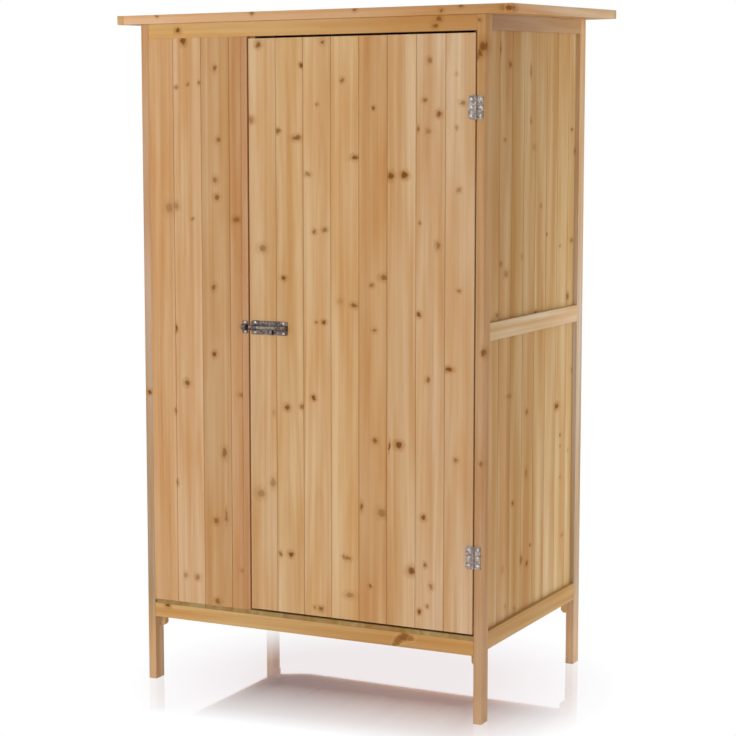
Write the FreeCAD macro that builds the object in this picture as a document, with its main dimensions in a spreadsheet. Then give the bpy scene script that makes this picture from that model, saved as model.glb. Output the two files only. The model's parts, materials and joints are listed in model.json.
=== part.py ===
import FreeCAD, Part
import os
import re
import Sketcher
from FreeCAD import Placement, Rotation, Vector

# Garden storage cabinet in planed fir: four legs, boarded walls, a lean-to roof that falls
# towards the front, a fixed front panel on the left and one boarded door on the right.
# +X is the cabinet's right as seen from the front, +Y its back, +Z up. The origin is on the
# ground, under the middle of the whole cabinet. Lengths are millimetres, angles are degrees.

# The driving dimensions.
SIZES = {
    # The carcass over its legs, and the roof's underside at the front face.
    "body_width": 763,
    "body_depth": 534,
    "body_height": 1364,
    "roof_pitch": 2,
    "leg_face": 17.5,
    "leg_side": 31.5,
    # Tongued and grooved boards: cover is the pitch from one joint to the next.
    "board_thickness": 9,
    "board_cover": 61.5,
    "board_gap": 0.5,
    "board_bevel": 0.9,
    "tongue_length": 4,
    "tongue_thickness": 3,
    "tongue_clearance": 0.3,
    # Front rails.
    "front_rail_depth": 18,
    "front_rail_bottom": 135,
    "front_rail_height": 29.5,
    "top_rail_height": 30,
    # Side and back rails, which lie on the outside of the boards.
    "wall_bottom": 143.5,
    "wall_rail_height": 36,
    "mid_rail_bottom": 747,
    "mid_rail_height": 35,
    # Upright cleats in the inner corners; they hang a little below the rails.
    "cleat_width": 12,
    "cleat_depth": 14,
    "cleat_bottom": 112,
    "cleat_chamfer": 5,
    "cleat_clearance": 0.5,
    # Floor bearers.
    "bearer_width": 14,
    "bearer_height": 20,
    "bearer_clearance": 0.3,
    # Fixed front panel, from the left leg to the post beside the door.
    "fixed_cover": 65.5,
    "fixed_edge_cover": 27.5,
    "post_width": 14,
    "post_depth": 30,
    "stop_width": 14,
    "stop_clearance": 0.5,
    "batten_height": 25,
    "batten_thickness": 18,
    # Door.
    "hinge_gap": 3,
    "lock_gap": 3.5,
    "door_bottom_gap": 4,
    "door_top_gap": 4.5,
    "ledge_height": 60,
    "ledge_thickness": 15,
    "ledge_inset": 16,
    "ledge_end_margin": 90,
    "brace_width": 70,
    "brace_clearance": 0.3,
    # Shelves on cleats along the side walls.
    "lower_shelf_height": 765,
    "upper_shelf_height": 1065,
    "shelf_cleat_width": 14,
    "shelf_cleat_height": 20,
    "shelf_batten_width": 20,
    "shelf_clearance": 0.5,
    # Roof.
    "side_overhang": 54,
    "front_overhang": 5,
    "rear_overhang": 37.67,
    "fascia_height": 18,
    "fascia_thickness": 15,
    "roof_board_thickness": 14,
    "felt_thickness": 2,
    "felt_clearance": 0.5,
    # Wood screws for the hinges, the bolt and its keep.
    "screw_head_radius": 2.7,
    "screw_head_rise": 0.7,
    "screw_top_radius": 1.9,
    "screw_shank_radius": 1.4,
    "screw_length": 9,
    "screw_clearance": 0.05,
    "recess_width": 0.8,
    "recess_length": 2.8,
    "recess_depth": 0.9,
    # Butt hinges on the face of the door and of the right leg.
    "plate_thickness": 1.3,
    "hinge_height": 44,
    "leaf_width": 15.5,
    "knuckle_radius": 2.6,
    "knuckle_clearance": 0.3,
    "pin_radius": 1.3,
    "pin_clearance": 0.05,
    "pin_head_radius": 2.2,
    "pin_head_height": 0.8,
    "hinge_screw_offset": 9.3,
    "hinge_screw_pitch": 15.5,
    "upper_hinge_drop": 139,
    "lower_hinge_rise": 151.5,
    # Barrel bolt, drawn back just clear of the keep.
    "bolt_height": 755.5,
    "bolt_setback": 3.5,
    "bolt_plate_length": 83.5,
    "bolt_plate_height": 28,
    "bolt_corner_radius": 3,
    "bolt_screw_inset": 9.5,
    "bolt_screw_rise": 9.8,
    "rod_radius": 4,
    "rod_lift": 0.3,
    "rod_clearance": 0.08,
    "rod_nose": 1,
    "rod_length": 85,
    "knob_setback": 50.5,
    "knob_radius": 2.6,
    "knob_drop": 11,
    "knob_ball_radius": 3.2,
    "guide_wall": 1.2,
    "guide_inset": 2,
    "left_guide_length": 12,
    "right_guide_length": 20,
    "keep_width": 12.5,
    "keep_height": 25,
    "keep_corner_radius": 2,
    "keep_guide_length": 10.5,
    "keep_clearance": 0.5,
    "keep_screw_rise": 9,
}
DOOR_BOARDS = 8
KNUCKLES = 5

doc = FreeCAD.newDocument("garden_storage_cabinet")
sheet = doc.addObject("Spreadsheet::Sheet", "Sizes")
for row, (alias, value) in enumerate(SIZES.items(), 1):
    sheet.set(f"A{row}", str(value))
    sheet.setAlias(f"A{row}", alias)
doc.recompute()

# Places that several pieces share. y is measured from the legs' front faces.
STILE_INNER = "(body_width / 2 - leg_face)"
REAR_LEG = "(body_depth - leg_side)"
RAIL_THICKNESS = "(leg_face - board_thickness)"
BACK_BOARDS = f"(body_depth - {RAIL_THICKNESS} - board_thickness)"
FRONT_RAIL_TOP = "(front_rail_bottom + front_rail_height)"
FLOOR_TOP = f"({FRONT_RAIL_TOP} + board_thickness)"
TOP_RAIL_BOTTOM = "(body_height - top_rail_height)"
FRONT_CLEAT = "front_rail_depth"
REAR_CLEAT = f"({BACK_BOARDS} - cleat_depth)"
DOOR_RIGHT = f"({STILE_INNER} - hinge_gap)"
DOOR_WIDTH = f"({DOOR_BOARDS} * board_cover - board_gap)"
DOOR_LEFT = f"({DOOR_RIGHT} - {DOOR_WIDTH})"
DOOR_BOTTOM = f"({FLOOR_TOP} + door_bottom_gap)"
DOOR_TOP = f"({TOP_RAIL_BOTTOM} - door_top_gap)"
POST_RIGHT = f"({DOOR_LEFT} - lock_gap)"
POST_LEFT = f"({POST_RIGHT} - post_width)"
HINGE_AXIS = f"({STILE_INNER} - hinge_gap / 2)"
HINGE_CENTRES = {
    "upper": f"({DOOR_TOP} - upper_hinge_drop)",
    "lower": f"({DOOR_BOTTOM} + lower_hinge_rise)",
}
ROD_AXIS_OUT = "(plate_thickness + rod_lift + rod_radius)"
GUIDE_RADIUS = "(rod_radius + rod_clearance + guide_wall)"
PLATE_LEFT = f"({DOOR_LEFT} + bolt_setback)"

# The roof's run from the front face to its rear edge, and its whole run, along the slope.
ROOF_BACK = "(body_depth / cos(roof_pitch) + rear_overhang)"
ROOF_RUN = f"(front_overhang + {ROOF_BACK})"

# The cabinet reaches forward to the bolt's guides and back to the rear fascia, and the row's
# origin is midway, so this is the place of the legs' front faces.
FRONT = f"(({ROD_AXIS_OUT} + {GUIDE_RADIUS} - {ROOF_BACK} * cos(roof_pitch)) / 2)"


def bind(thing, prop, formula):
    """Tie one property to the sheet; bare names in the formula are the sheet's aliases."""
    thing.setExpression(prop, re.sub(r"[a-z]\w*", named_size, str(formula)))


def named_size(word):
    """Point a word of a formula at its cell, where it is one of the sizes."""
    return "Sizes." + word.group() if word.group() in SIZES else word.group()


def place(thing, x, y, z, rotation=Rotation()):
    """Put a piece's own corner at x, at y behind the legs' front faces and at height z."""
    thing.Placement = Placement(Vector(), rotation)
    bind(thing, "Placement.Base.x", x)
    bind(thing, "Placement.Base.y", f"{FRONT} + {y}")
    bind(thing, "Placement.Base.z", z)
    return thing


def tilt(thing, x, run, rise):
    """Lay a piece on the roof's slope: run up the slope, rise square to it."""
    thing.Placement = Placement(Vector(), Rotation(Vector(1, 0, 0), 1))
    bind(thing, "Placement.Rotation.Angle", "roof_pitch")
    bind(thing, "Placement.Base.x", x)
    bind(thing, "Placement.Base.y", f"{FRONT} + {run} * cos(roof_pitch) - {rise} * sin(roof_pitch)")
    bind(thing, "Placement.Base.z", f"body_height + {run} * sin(roof_pitch) + {rise} * cos(roof_pitch)")
    return thing


def under_roof(depth):
    """Height of the roof's underside at a distance behind the front faces."""
    return f"(body_height + ({depth}) * tan(roof_pitch))"


parts = []


def part(thing, label):
    """Name a finished sub-part."""
    thing.Label = label
    parts.append(thing)
    return thing


def box(width, depth, height):
    """A plain bar along the axes."""
    bar = doc.addObject("Part::Box", "bar")
    bind(bar, "Length", width)
    bind(bar, "Width", depth)
    bind(bar, "Height", height)
    return bar


def cylinder(radius, height):
    """A round bar along Z."""
    rod = doc.addObject("Part::Cylinder", "rod")
    bind(rod, "Radius", radius)
    bind(rod, "Height", height)
    return rod


def cone(bottom_radius, top_radius, height):
    """A taper along Z."""
    taper = doc.addObject("Part::Cone", "taper")
    bind(taper, "Radius1", bottom_radius)
    bind(taper, "Radius2", top_radius)
    bind(taper, "Height", height)
    return taper


def shift(thing, x=0, y=0, z=0, rotation=Rotation()):
    """Move a piece within the sub-part that it belongs to."""
    thing.Placement = Placement(Vector(), rotation)
    bind(thing, "Placement.Base.x", x)
    bind(thing, "Placement.Base.y", y)
    bind(thing, "Placement.Base.z", z)
    return thing


def fuse(*things):
    """Join solids into one."""
    joined = doc.addObject("Part::MultiFuse", "joined")
    joined.Shapes = list(things)
    return joined


def cut(base, tool):
    """Take one solid out of another."""
    rest = doc.addObject("Part::Cut", "rest")
    rest.Base = base
    rest.Tool = tool
    return rest


def common(base, tool):
    """Keep what two solids share."""
    shared = doc.addObject("Part::Common", "shared")
    shared.Base = base
    shared.Tool = tool
    return shared


def group(*things):
    """Keep several solids apart in one sub-part."""
    together = doc.addObject("Part::Compound", "together")
    together.Links = list(things)
    return together


def copy_of(thing):
    """A second piece of the same form, to be placed by itself."""
    twin = doc.addObject("App::Link", "twin")
    twin.LinkedObject = thing
    return twin


def outline(body, role, points):
    """Sketch a closed outline whose corners follow the sheet."""
    plane = [feature for feature in body.Origin.OriginFeatures if feature.Role == role][0]
    sketch = body.newObject("Sketcher::SketchObject", "outline")
    sketch.AttachmentSupport = [(plane, "")]
    sketch.MapMode = "FlatFace"
    count = len(points)
    spread = [Vector(100, 0, 0)]
    for _ in range(count):
        spread.append(Rotation(Vector(0, 0, 1), 360 / count).multVec(spread[-1]))
    sketch.addGeometry([Part.LineSegment(spread[i], spread[i + 1]) for i in range(count)], False)
    joints = [Sketcher.Constraint("Coincident", i, 2, (i + 1) % count, 1) for i in range(count)]
    sketch.addConstraint(joints)
    for i, corner in enumerate(points):
        for kind, axis, formula in zip(("DistanceX", "DistanceY"), (-2, -1), corner):
            if str(formula) == "0":
                sketch.addConstraint(Sketcher.Constraint("PointOnObject", i, 1, axis))
                continue
            number = sketch.addConstraint(Sketcher.Constraint(kind, -1, 1, i, 1, 1.0))
            bind(sketch, f"Constraints[{number}]", formula)
    return sketch


def pad(role, points, length):
    """A straight length of one profile: along Z from XY, along Y from XZ, along X from YZ."""
    body = doc.addObject("PartDesign::Body", "piece")
    sketch = outline(body, role, points)
    length_of = body.newObject("PartDesign::Pad", "length")
    length_of.Profile = sketch
    length_of.Reversed = role == "XZ_Plane"
    bind(length_of, "Length", length)
    return body


def board_profile(width, thickness="board_thickness", tongue=True, groove=True):
    """Section of a tongued and grooved board: width along x, and thickness along y from the
    bevelled face, so that two boards meet in a small V."""
    low = f"({thickness} - tongue_thickness) / 2"
    high = f"({thickness} + tongue_thickness) / 2"
    tip = f"{width} + tongue_length"
    points = [("0", "board_bevel"), ("board_bevel", "0")]
    points += [(f"{width} - board_bevel", "0"), (width, "board_bevel")]
    if tongue:
        points += [(width, low), (tip, low), (tip, high), (width, high)]
    points += [(width, thickness), ("0", thickness)]
    if groove:
        bottom = "tongue_length - board_gap + tongue_clearance"
        points += [("0", f"{high} + tongue_clearance"), (bottom, f"{high} + tongue_clearance")]
        points += [(bottom, f"{low} - tongue_clearance"), ("0", f"{low} - tongue_clearance")]
    return points


def swapped(points):
    """The same profile with its two directions exchanged."""
    return [(across, along) for along, across in points]


def face_last(points, thickness="board_thickness"):
    """The same profile with its bevelled face at the far side of the thickness."""
    turned = []
    for along, across in points:
        turned.append((along, thickness if across == "0" else f"{thickness} - ({across})"))
    return turned


def board_row(role, points, length, count, direction, cover="board_cover"):
    """A row of like boards, one board's cover apart along the sketch's direction."""
    body = pad(role, points, length)
    first = body.Tip
    row = body.newObject("PartDesign::LinearPattern", "row")
    row.Originals = [first]
    row.Direction = (first.Profile[0], [direction])
    row.Mode = "Spacing"
    row.Occurrences = count
    bind(row, "Offset", cover)
    body.Tip = row
    return body


def boards_in(span, cover="board_cover"):
    """How many covers fill a span. The last board is ripped to what is left, and a sliver
    narrower than a fifth of a cover is left open."""
    return int(span / SIZES[cover] + 0.8)


# Legs. The front pair is shorter, because the roof falls towards the front.
def leg(left, depth):
    top = under_roof(depth)
    back = under_roof(f"{depth} + leg_side")
    side = [("0", "0"), ("leg_side", "0"), ("leg_side", back), ("0", top)]
    return place(pad("YZ_Plane", side, "leg_face"), left, depth, "0")


part(leg("-body_width / 2", "0"), "left_front_leg")
part(leg("-body_width / 2", REAR_LEG), "left_rear_leg")
part(leg(STILE_INNER, REAR_LEG), "right_rear_leg")


# Side walls: upright boards flush with the legs' inner faces, and rails over them outside.
def side_rail(left, bottom, height):
    return place(box(RAIL_THICKNESS, f"{REAR_LEG} - leg_side", height), left, "leg_side", bottom)


def side_top_rail(left):
    """The top rail keeps its height and follows the roof's fall."""
    front, back = under_roof("leg_side"), under_roof(REAR_LEG)
    span = f"{REAR_LEG} - leg_side"
    side = [("0", f"{front} - top_rail_height"), (span, f"{back} - top_rail_height")]
    side += [(span, back), ("0", front)]
    return place(pad("YZ_Plane", side, RAIL_THICKNESS), left, "leg_side", "0")


def side_boards(left, profile):
    span = f"{REAR_LEG} - leg_side"
    count = boards_in(SIZES["body_depth"] - 2 * SIZES["leg_side"])
    row = board_row("XY_Plane", swapped(profile), "body_height", count, "V_Axis")
    place(row, left, "leg_side", "wall_bottom")
    top = [("0", "wall_bottom"), (span, "wall_bottom")]
    top += [(span, under_roof(REAR_LEG)), ("0", under_roof("leg_side"))]
    bay = place(pad("YZ_Plane", top, "board_thickness"), left, "leg_side", "0")
    return common(row, bay)


wall_board = board_profile("board_cover - board_gap")
for side, rails, boards, profile in (
    ("left", "-body_width / 2", f"-{STILE_INNER} - board_thickness", wall_board),
    ("right", f"{STILE_INNER} + board_thickness", STILE_INNER, face_last(wall_board)),
):
    part(side_rail(rails, "wall_bottom", "wall_rail_height"), f"{side}_bottom_rail")
    part(side_rail(rails, "mid_rail_bottom", "mid_rail_height"), f"{side}_mid_rail")
    part(side_top_rail(rails), f"{side}_top_rail")
    part(side_boards(boards, profile), f"{side}_side_boards")


# Back wall, made like the side walls.
def back_rail(bottom, height):
    rail = box(f"2 * {STILE_INNER}", RAIL_THICKNESS, height)
    return place(rail, f"-{STILE_INNER}", f"{BACK_BOARDS} + board_thickness", bottom)


def back_top_rail():
    near, far = f"{BACK_BOARDS} + board_thickness", "body_depth"
    low = f"{under_roof(near)} - top_rail_height"
    side = [("0", low), (RAIL_THICKNESS, low), (RAIL_THICKNESS, under_roof(far)), ("0", under_roof(near))]
    return place(pad("YZ_Plane", side, f"2 * {STILE_INNER}"), f"-{STILE_INNER}", near, "0")


def back_boards():
    near, far = BACK_BOARDS, f"{BACK_BOARDS} + board_thickness"
    count = boards_in(SIZES["body_width"] - 2 * SIZES["leg_face"])
    row = board_row("XY_Plane", face_last(wall_board), "body_height", count, "H_Axis")
    place(row, f"-{STILE_INNER}", near, "wall_bottom")
    side = [("0", "wall_bottom"), ("board_thickness", "wall_bottom")]
    side += [("board_thickness", under_roof(far)), ("0", under_roof(near))]
    bay = place(pad("YZ_Plane", side, f"2 * {STILE_INNER}"), f"-{STILE_INNER}", near, "0")
    return common(row, bay)


part(back_rail("wall_bottom", "wall_rail_height"), "back_bottom_rail")
part(back_rail("mid_rail_bottom", "mid_rail_height"), "back_mid_rail")
part(back_top_rail(), "back_top_rail")
part(back_boards(), "back_boards")


# Front rails between the front legs.
def front_top_rail():
    top = under_roof("front_rail_depth")
    side = [("0", TOP_RAIL_BOTTOM), ("front_rail_depth", TOP_RAIL_BOTTOM)]
    side += [("front_rail_depth", top), ("0", "body_height")]
    return place(pad("YZ_Plane", side, f"2 * {STILE_INNER}"), f"-{STILE_INNER}", "0", "0")


part(front_top_rail(), "front_top_rail")
bottom_rail = box(f"2 * {STILE_INNER}", "front_rail_depth", "front_rail_height")
part(place(bottom_rail, f"-{STILE_INNER}", "0", "front_rail_bottom"), "front_bottom_rail")


# Corner cleats: their lower ends are chamfered on the inner side and show below the rails.
def corner_cleat(left, depth, chamfer_left):
    top, low = under_roof(depth), "cleat_bottom"
    front = [("0", low), ("cleat_width - cleat_chamfer", low), ("cleat_width", f"{low} + cleat_chamfer")]
    if chamfer_left:
        front = [("0", f"{low} + cleat_chamfer"), ("cleat_chamfer", low), ("cleat_width", low)]
    front += [("cleat_width", top), ("0", top)]
    return place(pad("XZ_Plane", front, "cleat_depth"), left, depth, "0")


LEFT_CLEAT = f"-{STILE_INNER}"
RIGHT_CLEAT = f"({STILE_INNER} - cleat_width)"
part(
    group(
        corner_cleat(LEFT_CLEAT, FRONT_CLEAT, False),
        corner_cleat(RIGHT_CLEAT, FRONT_CLEAT, True),
        corner_cleat(LEFT_CLEAT, REAR_CLEAT, False),
        corner_cleat(RIGHT_CLEAT, REAR_CLEAT, True),
    ),
    "corner_cleats",
)


# Floor: boards from front to back over the front rail, notched round the corner cleats.
def floor_notch(left, depth):
    room = box("cleat_width + cleat_clearance", "cleat_depth + 2 * cleat_clearance", "board_thickness")
    return place(room, left, f"{depth} - cleat_clearance", FRONT_RAIL_TOP)


def floor_boards():
    count = boards_in(SIZES["body_width"] - 2 * SIZES["leg_face"])
    row = board_row("XZ_Plane", face_last(wall_board), BACK_BOARDS, count, "H_Axis")
    place(row, f"-{STILE_INNER}", "0", FRONT_RAIL_TOP)
    bay = box(f"2 * {STILE_INNER}", BACK_BOARDS, "board_thickness")
    place(bay, f"-{STILE_INNER}", "0", FRONT_RAIL_TOP)
    notches = []
    for left in (LEFT_CLEAT, f"{RIGHT_CLEAT} - cleat_clearance"):
        for depth in (FRONT_CLEAT, REAR_CLEAT):
            notches.append(floor_notch(left, depth))
    return cut(common(row, bay), fuse(*notches))


def side_bearer(left):
    start = f"({FRONT_CLEAT} + cleat_depth + bearer_clearance)"
    bearer = box("bearer_width", f"{REAR_CLEAT} - bearer_clearance - {start}", "bearer_height")
    return place(bearer, left, start, f"{FRONT_RAIL_TOP} - bearer_height")


def rear_bearer():
    half = f"({STILE_INNER} - bearer_width - bearer_clearance)"
    bearer = box(f"2 * {half}", "bearer_width", "bearer_height")
    return place(bearer, f"-{half}", f"{BACK_BOARDS} - bearer_width", f"{FRONT_RAIL_TOP} - bearer_height")


part(floor_boards(), "floor_boards")
right_bearer = side_bearer(f"{STILE_INNER} - bearer_width")
part(group(side_bearer(f"-{STILE_INNER}"), right_bearer, rear_bearer()), "floor_bearers")


# Shelves: boards across the cabinet on cleats along the side walls, with one batten below.
SHELF_FRONT = "(max(front_rail_depth + cleat_depth; post_depth) + shelf_clearance)"
SHELF_DEPTH = f"({REAR_CLEAT} - shelf_clearance - {SHELF_FRONT})"
SHELF_HALF = f"({STILE_INNER} - shelf_clearance)"


def shelf_boards(height):
    held = SIZES["leg_face"] + 2 * SIZES["cleat_depth"] + SIZES["front_rail_depth"]
    count = boards_in(SIZES["body_depth"] - held)
    row = board_row("YZ_Plane", face_last(wall_board), f"2 * {SHELF_HALF}", count, "H_Axis")
    place(row, f"-{SHELF_HALF}", SHELF_FRONT, height)
    bay = box(f"2 * {SHELF_HALF}", SHELF_DEPTH, "board_thickness")
    return common(row, place(bay, f"-{SHELF_HALF}", SHELF_FRONT, height))


def shelf_support(left, width, height):
    support = box(width, SHELF_DEPTH, "shelf_cleat_height")
    return place(support, left, SHELF_FRONT, f"{height} - shelf_cleat_height")


battens = []
cleats = []
for name in ("lower", "upper"):
    height = f"{name}_shelf_height"
    part(shelf_boards(height), f"{name}_shelf_boards")
    battens.append(shelf_support("-shelf_batten_width / 2", "shelf_batten_width", height))
    for left in (f"-{STILE_INNER}", f"{STILE_INNER} - shelf_cleat_width"):
        cleats.append(shelf_support(left, "shelf_cleat_width", height))
part(group(*battens), "shelf_battens")
part(group(*cleats), "shelf_cleats")


# Roof: boards down the slope inside a frame of fascias, under one sheet of felt.
ROOF_HALF = "(body_width / 2 + side_overhang)"
BOARD_HALF = f"({ROOF_HALF} - fascia_thickness)"
BOARD_RUN = f"({ROOF_RUN} - 2 * fascia_thickness)"
BOARD_START = "(fascia_thickness - front_overhang)"
REAR_START = f"({ROOF_BACK} - fascia_thickness)"


def roof_boards():
    width = SIZES["body_width"] + 2 * SIZES["side_overhang"] - 2 * SIZES["fascia_thickness"]
    profile = board_profile("board_cover - board_gap", "roof_board_thickness")
    row = board_row("XZ_Plane", profile, BOARD_RUN, boards_in(width), "H_Axis")
    bay = box(f"2 * {BOARD_HALF}", BOARD_RUN, "roof_board_thickness")
    left = f"-{BOARD_HALF}"
    return common(tilt(row, left, BOARD_START, "0"), tilt(bay, left, BOARD_START, "0"))


def felt():
    half = f"({BOARD_HALF} - felt_clearance)"
    sheet_of = box(f"2 * {half}", f"{BOARD_RUN} - 2 * felt_clearance", "felt_thickness")
    return tilt(sheet_of, f"-{half}", f"({BOARD_START} + felt_clearance)", "roof_board_thickness")


def fascia(left, run, width, length):
    return tilt(box(width, length, "fascia_height"), left, run, "0")


part(roof_boards(), "roof_boards")
part(felt(), "roof_felt")
EAVE = "(-front_overhang)"
SIDE_RUN = f"{ROOF_RUN} - fascia_thickness"
part(fascia(f"-{BOARD_HALF}", EAVE, f"2 * {BOARD_HALF}", "fascia_thickness"), "front_fascia")
part(fascia(f"-{ROOF_HALF}", REAR_START, f"2 * {ROOF_HALF}", "fascia_thickness"), "rear_fascia")
part(fascia(f"-{ROOF_HALF}", EAVE, "fascia_thickness", SIDE_RUN), "left_fascia")
part(fascia(BOARD_HALF, EAVE, "fascia_thickness", SIDE_RUN), "right_fascia")


# Screws and their holes. A screw's own z runs into the wood from the plate's outer face.
def screw():
    crown = shift(cone("screw_top_radius", "screw_head_radius", "screw_head_rise"), z="-screw_head_rise")
    sink = cone("screw_head_radius", "screw_shank_radius", "plate_thickness")
    shank = cylinder("screw_shank_radius", "screw_length - screw_shank_radius")
    point = cone("screw_shank_radius", "screw_clearance", "screw_shank_radius")
    shift(point, z="screw_length - screw_shank_radius")
    slots = []
    for width, length in (("recess_width", "recess_length"), ("recess_length", "recess_width")):
        slot = box(width, length, "recess_depth")
        slots.append(shift(slot, f"-{width} / 2", f"-{length} / 2", "-screw_head_rise"))
    return cut(fuse(crown, sink, shank, point), fuse(*slots))


def plate_hole():
    """A countersunk hole through a plate."""
    grown = "screw_shank_radius + screw_clearance"
    sink = cone("screw_head_radius + screw_clearance", grown, "plate_thickness")
    return fuse(sink, cylinder(grown, "2 * plate_thickness"))


def pilot_hole():
    """The hole in the wood that a screw fills."""
    depth = "screw_length - plate_thickness + screw_clearance"
    return shift(cylinder("screw_shank_radius + screw_clearance", depth), z="plate_thickness")


wood_screw = screw()
sunk_hole = plate_hole()
pilot = group(pilot_hole())
INTO_WOOD = Rotation(Vector(1, 0, 0), -90)


def at_screws(thing, places):
    """One copy of a screw or hole at each x and z, square to the front face."""
    return [place(copy_of(thing), x, "(-plate_thickness)", z, INTO_WOOD) for x, z in places]


def drilled(wood, places):
    """Wood with a pilot hole for each screw."""
    return cut(wood, group(*at_screws(pilot, places)))


def hinge_screw_places(x):
    return [
        (x, f"{centre} + {step} * hinge_screw_pitch")
        for centre in HINGE_CENTRES.values()
        for step in (-1, 0, 1)
    ]


LEG_SCREWS = hinge_screw_places(f"{HINGE_AXIS} + hinge_screw_offset")
DOOR_SCREWS = hinge_screw_places(f"{HINGE_AXIS} - hinge_screw_offset")
BOLT_SCREWS = [
    (f"{PLATE_LEFT} + {inset}", f"bolt_height + {side} * bolt_screw_rise")
    for inset in ("bolt_screw_inset", "bolt_plate_length - bolt_screw_inset")
    for side in (-1, 1)
]
KEEP_CENTRE = f"({POST_LEFT} + post_width / 2)"
KEEP_SCREWS = [(KEEP_CENTRE, f"bolt_height + {side} * keep_screw_rise") for side in (-1, 1)]

part(drilled(leg(STILE_INNER, "0"), LEG_SCREWS), "right_front_leg")


# Fixed front panel: boards from the left leg to the post, flush with the rails.
def upright_board(left, width, bottom, top, tongue, groove):
    body = pad("XY_Plane", board_profile(width, tongue=tongue, groove=groove), f"{top} - {bottom}")
    return place(body, left, "0", bottom)


EDGE_LEFT = f"({POST_LEFT} - fixed_edge_cover)"
PANEL_HEIGHT = f"({TOP_RAIL_BOTTOM} - {FLOOR_TOP})"


def fixed_boards():
    """Whole boards run from the edge board to the left, and the one by the leg is ripped."""
    beside = ("hinge_gap", "lock_gap", "post_width", "fixed_edge_cover")
    taken = 2 * SIZES["leg_face"] + sum(SIZES[name] for name in beside)
    door = DOOR_BOARDS * SIZES["board_cover"] - SIZES["board_gap"]
    count = boards_in(SIZES["body_width"] - taken - door, "fixed_cover")
    profile = board_profile("fixed_cover - board_gap")
    row = board_row("XY_Plane", profile, PANEL_HEIGHT, count, "H_Axis", "fixed_cover")
    place(row, f"{EDGE_LEFT} - {count} * fixed_cover", "0", FLOOR_TOP)
    bay = box(f"{EDGE_LEFT} + tongue_length + {STILE_INNER}", "board_thickness", PANEL_HEIGHT)
    return common(row, place(bay, f"-{STILE_INNER}", "0", FLOOR_TOP))


edge_board = upright_board(EDGE_LEFT, "fixed_edge_cover", FLOOR_TOP, TOP_RAIL_BOTTOM, False, True)
part(group(fixed_boards(), edge_board), "front_fixed_boards")

post = box("post_width", "post_depth", PANEL_HEIGHT)
place(post, POST_LEFT, "0", FLOOR_TOP)
part(drilled(post, KEEP_SCREWS), "front_post")
STOP_FRONT = "(board_thickness + stop_clearance)"
stop = box("stop_width", f"post_depth - {STOP_FRONT}", PANEL_HEIGHT)
part(place(stop, POST_RIGHT, STOP_FRONT, FLOOR_TOP), "door_stop")


def panel_batten(bottom):
    left = f"(-{STILE_INNER} + cleat_width + cleat_clearance)"
    batten = box(f"{POST_LEFT} - {left}", "batten_thickness", "batten_height")
    return place(batten, left, "board_thickness", bottom)


batten_heights = (FLOOR_TOP, "mid_rail_bottom", f"{TOP_RAIL_BOTTOM} - batten_height")
part(group(*[panel_batten(bottom) for bottom in batten_heights]), "fixed_panel_battens")


# Door: eight boards on three ledges, with a brace in each bay.
def door_board(number):
    first, last = number == 1, number == DOOR_BOARDS
    left = f"({DOOR_LEFT} + {number - 1} * board_cover)"
    board = upright_board(left, "board_cover - board_gap", DOOR_BOTTOM, DOOR_TOP, not last, not first)
    if number <= 2:
        return drilled(board, BOLT_SCREWS)
    return drilled(board, DOOR_SCREWS) if last else board


for number in range(1, DOOR_BOARDS + 1):
    part(door_board(number), f"door_board_{number}")

LEDGE_LEFT = f"({DOOR_LEFT} + ledge_inset)"
LEDGE_LENGTH = f"({DOOR_WIDTH} - 2 * ledge_inset)"
LOW_LEDGE = f"({DOOR_BOTTOM} + ledge_end_margin)"
MIDDLE_LEDGE = "(bolt_height - ledge_height / 2)"
TOP_LEDGE = f"({DOOR_TOP} - ledge_end_margin - ledge_height)"


def ledge(bottom):
    bar = box(LEDGE_LENGTH, "ledge_thickness", "ledge_height")
    return place(bar, LEDGE_LEFT, "board_thickness", bottom)


def brace(below, above):
    """A brace rises from the hinge side to the free side, and its ends meet the ledges."""
    low, high = f"({below} + ledge_height + brace_clearance)", f"({above} - brace_clearance)"
    rise = f"{high} - {low}"
    front = [(f"{LEDGE_LENGTH} - brace_width", "0"), (LEDGE_LENGTH, "0")]
    front += [("brace_width", rise), ("0", rise)]
    return place(pad("XZ_Plane", front, "ledge_thickness"), LEDGE_LEFT, "board_thickness", low)


part(ledge(TOP_LEDGE), "door_top_ledge")
part(ledge(MIDDLE_LEDGE), "door_middle_ledge")
part(ledge(LOW_LEDGE), "door_bottom_ledge")
part(group(brace(LOW_LEDGE, MIDDLE_LEDGE), brace(MIDDLE_LEDGE, TOP_LEDGE)), "door_braces")


# Hinges: two leaves with interleaved knuckles on a headed pin. A leaf is made about the pin's
# axis, with its back in line with the knuckle's back, against the wood.
KNUCKLE_PITCH = f"hinge_height / {KNUCKLES}"
PLATE_START = "(knuckle_radius + knuckle_clearance)"


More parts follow.
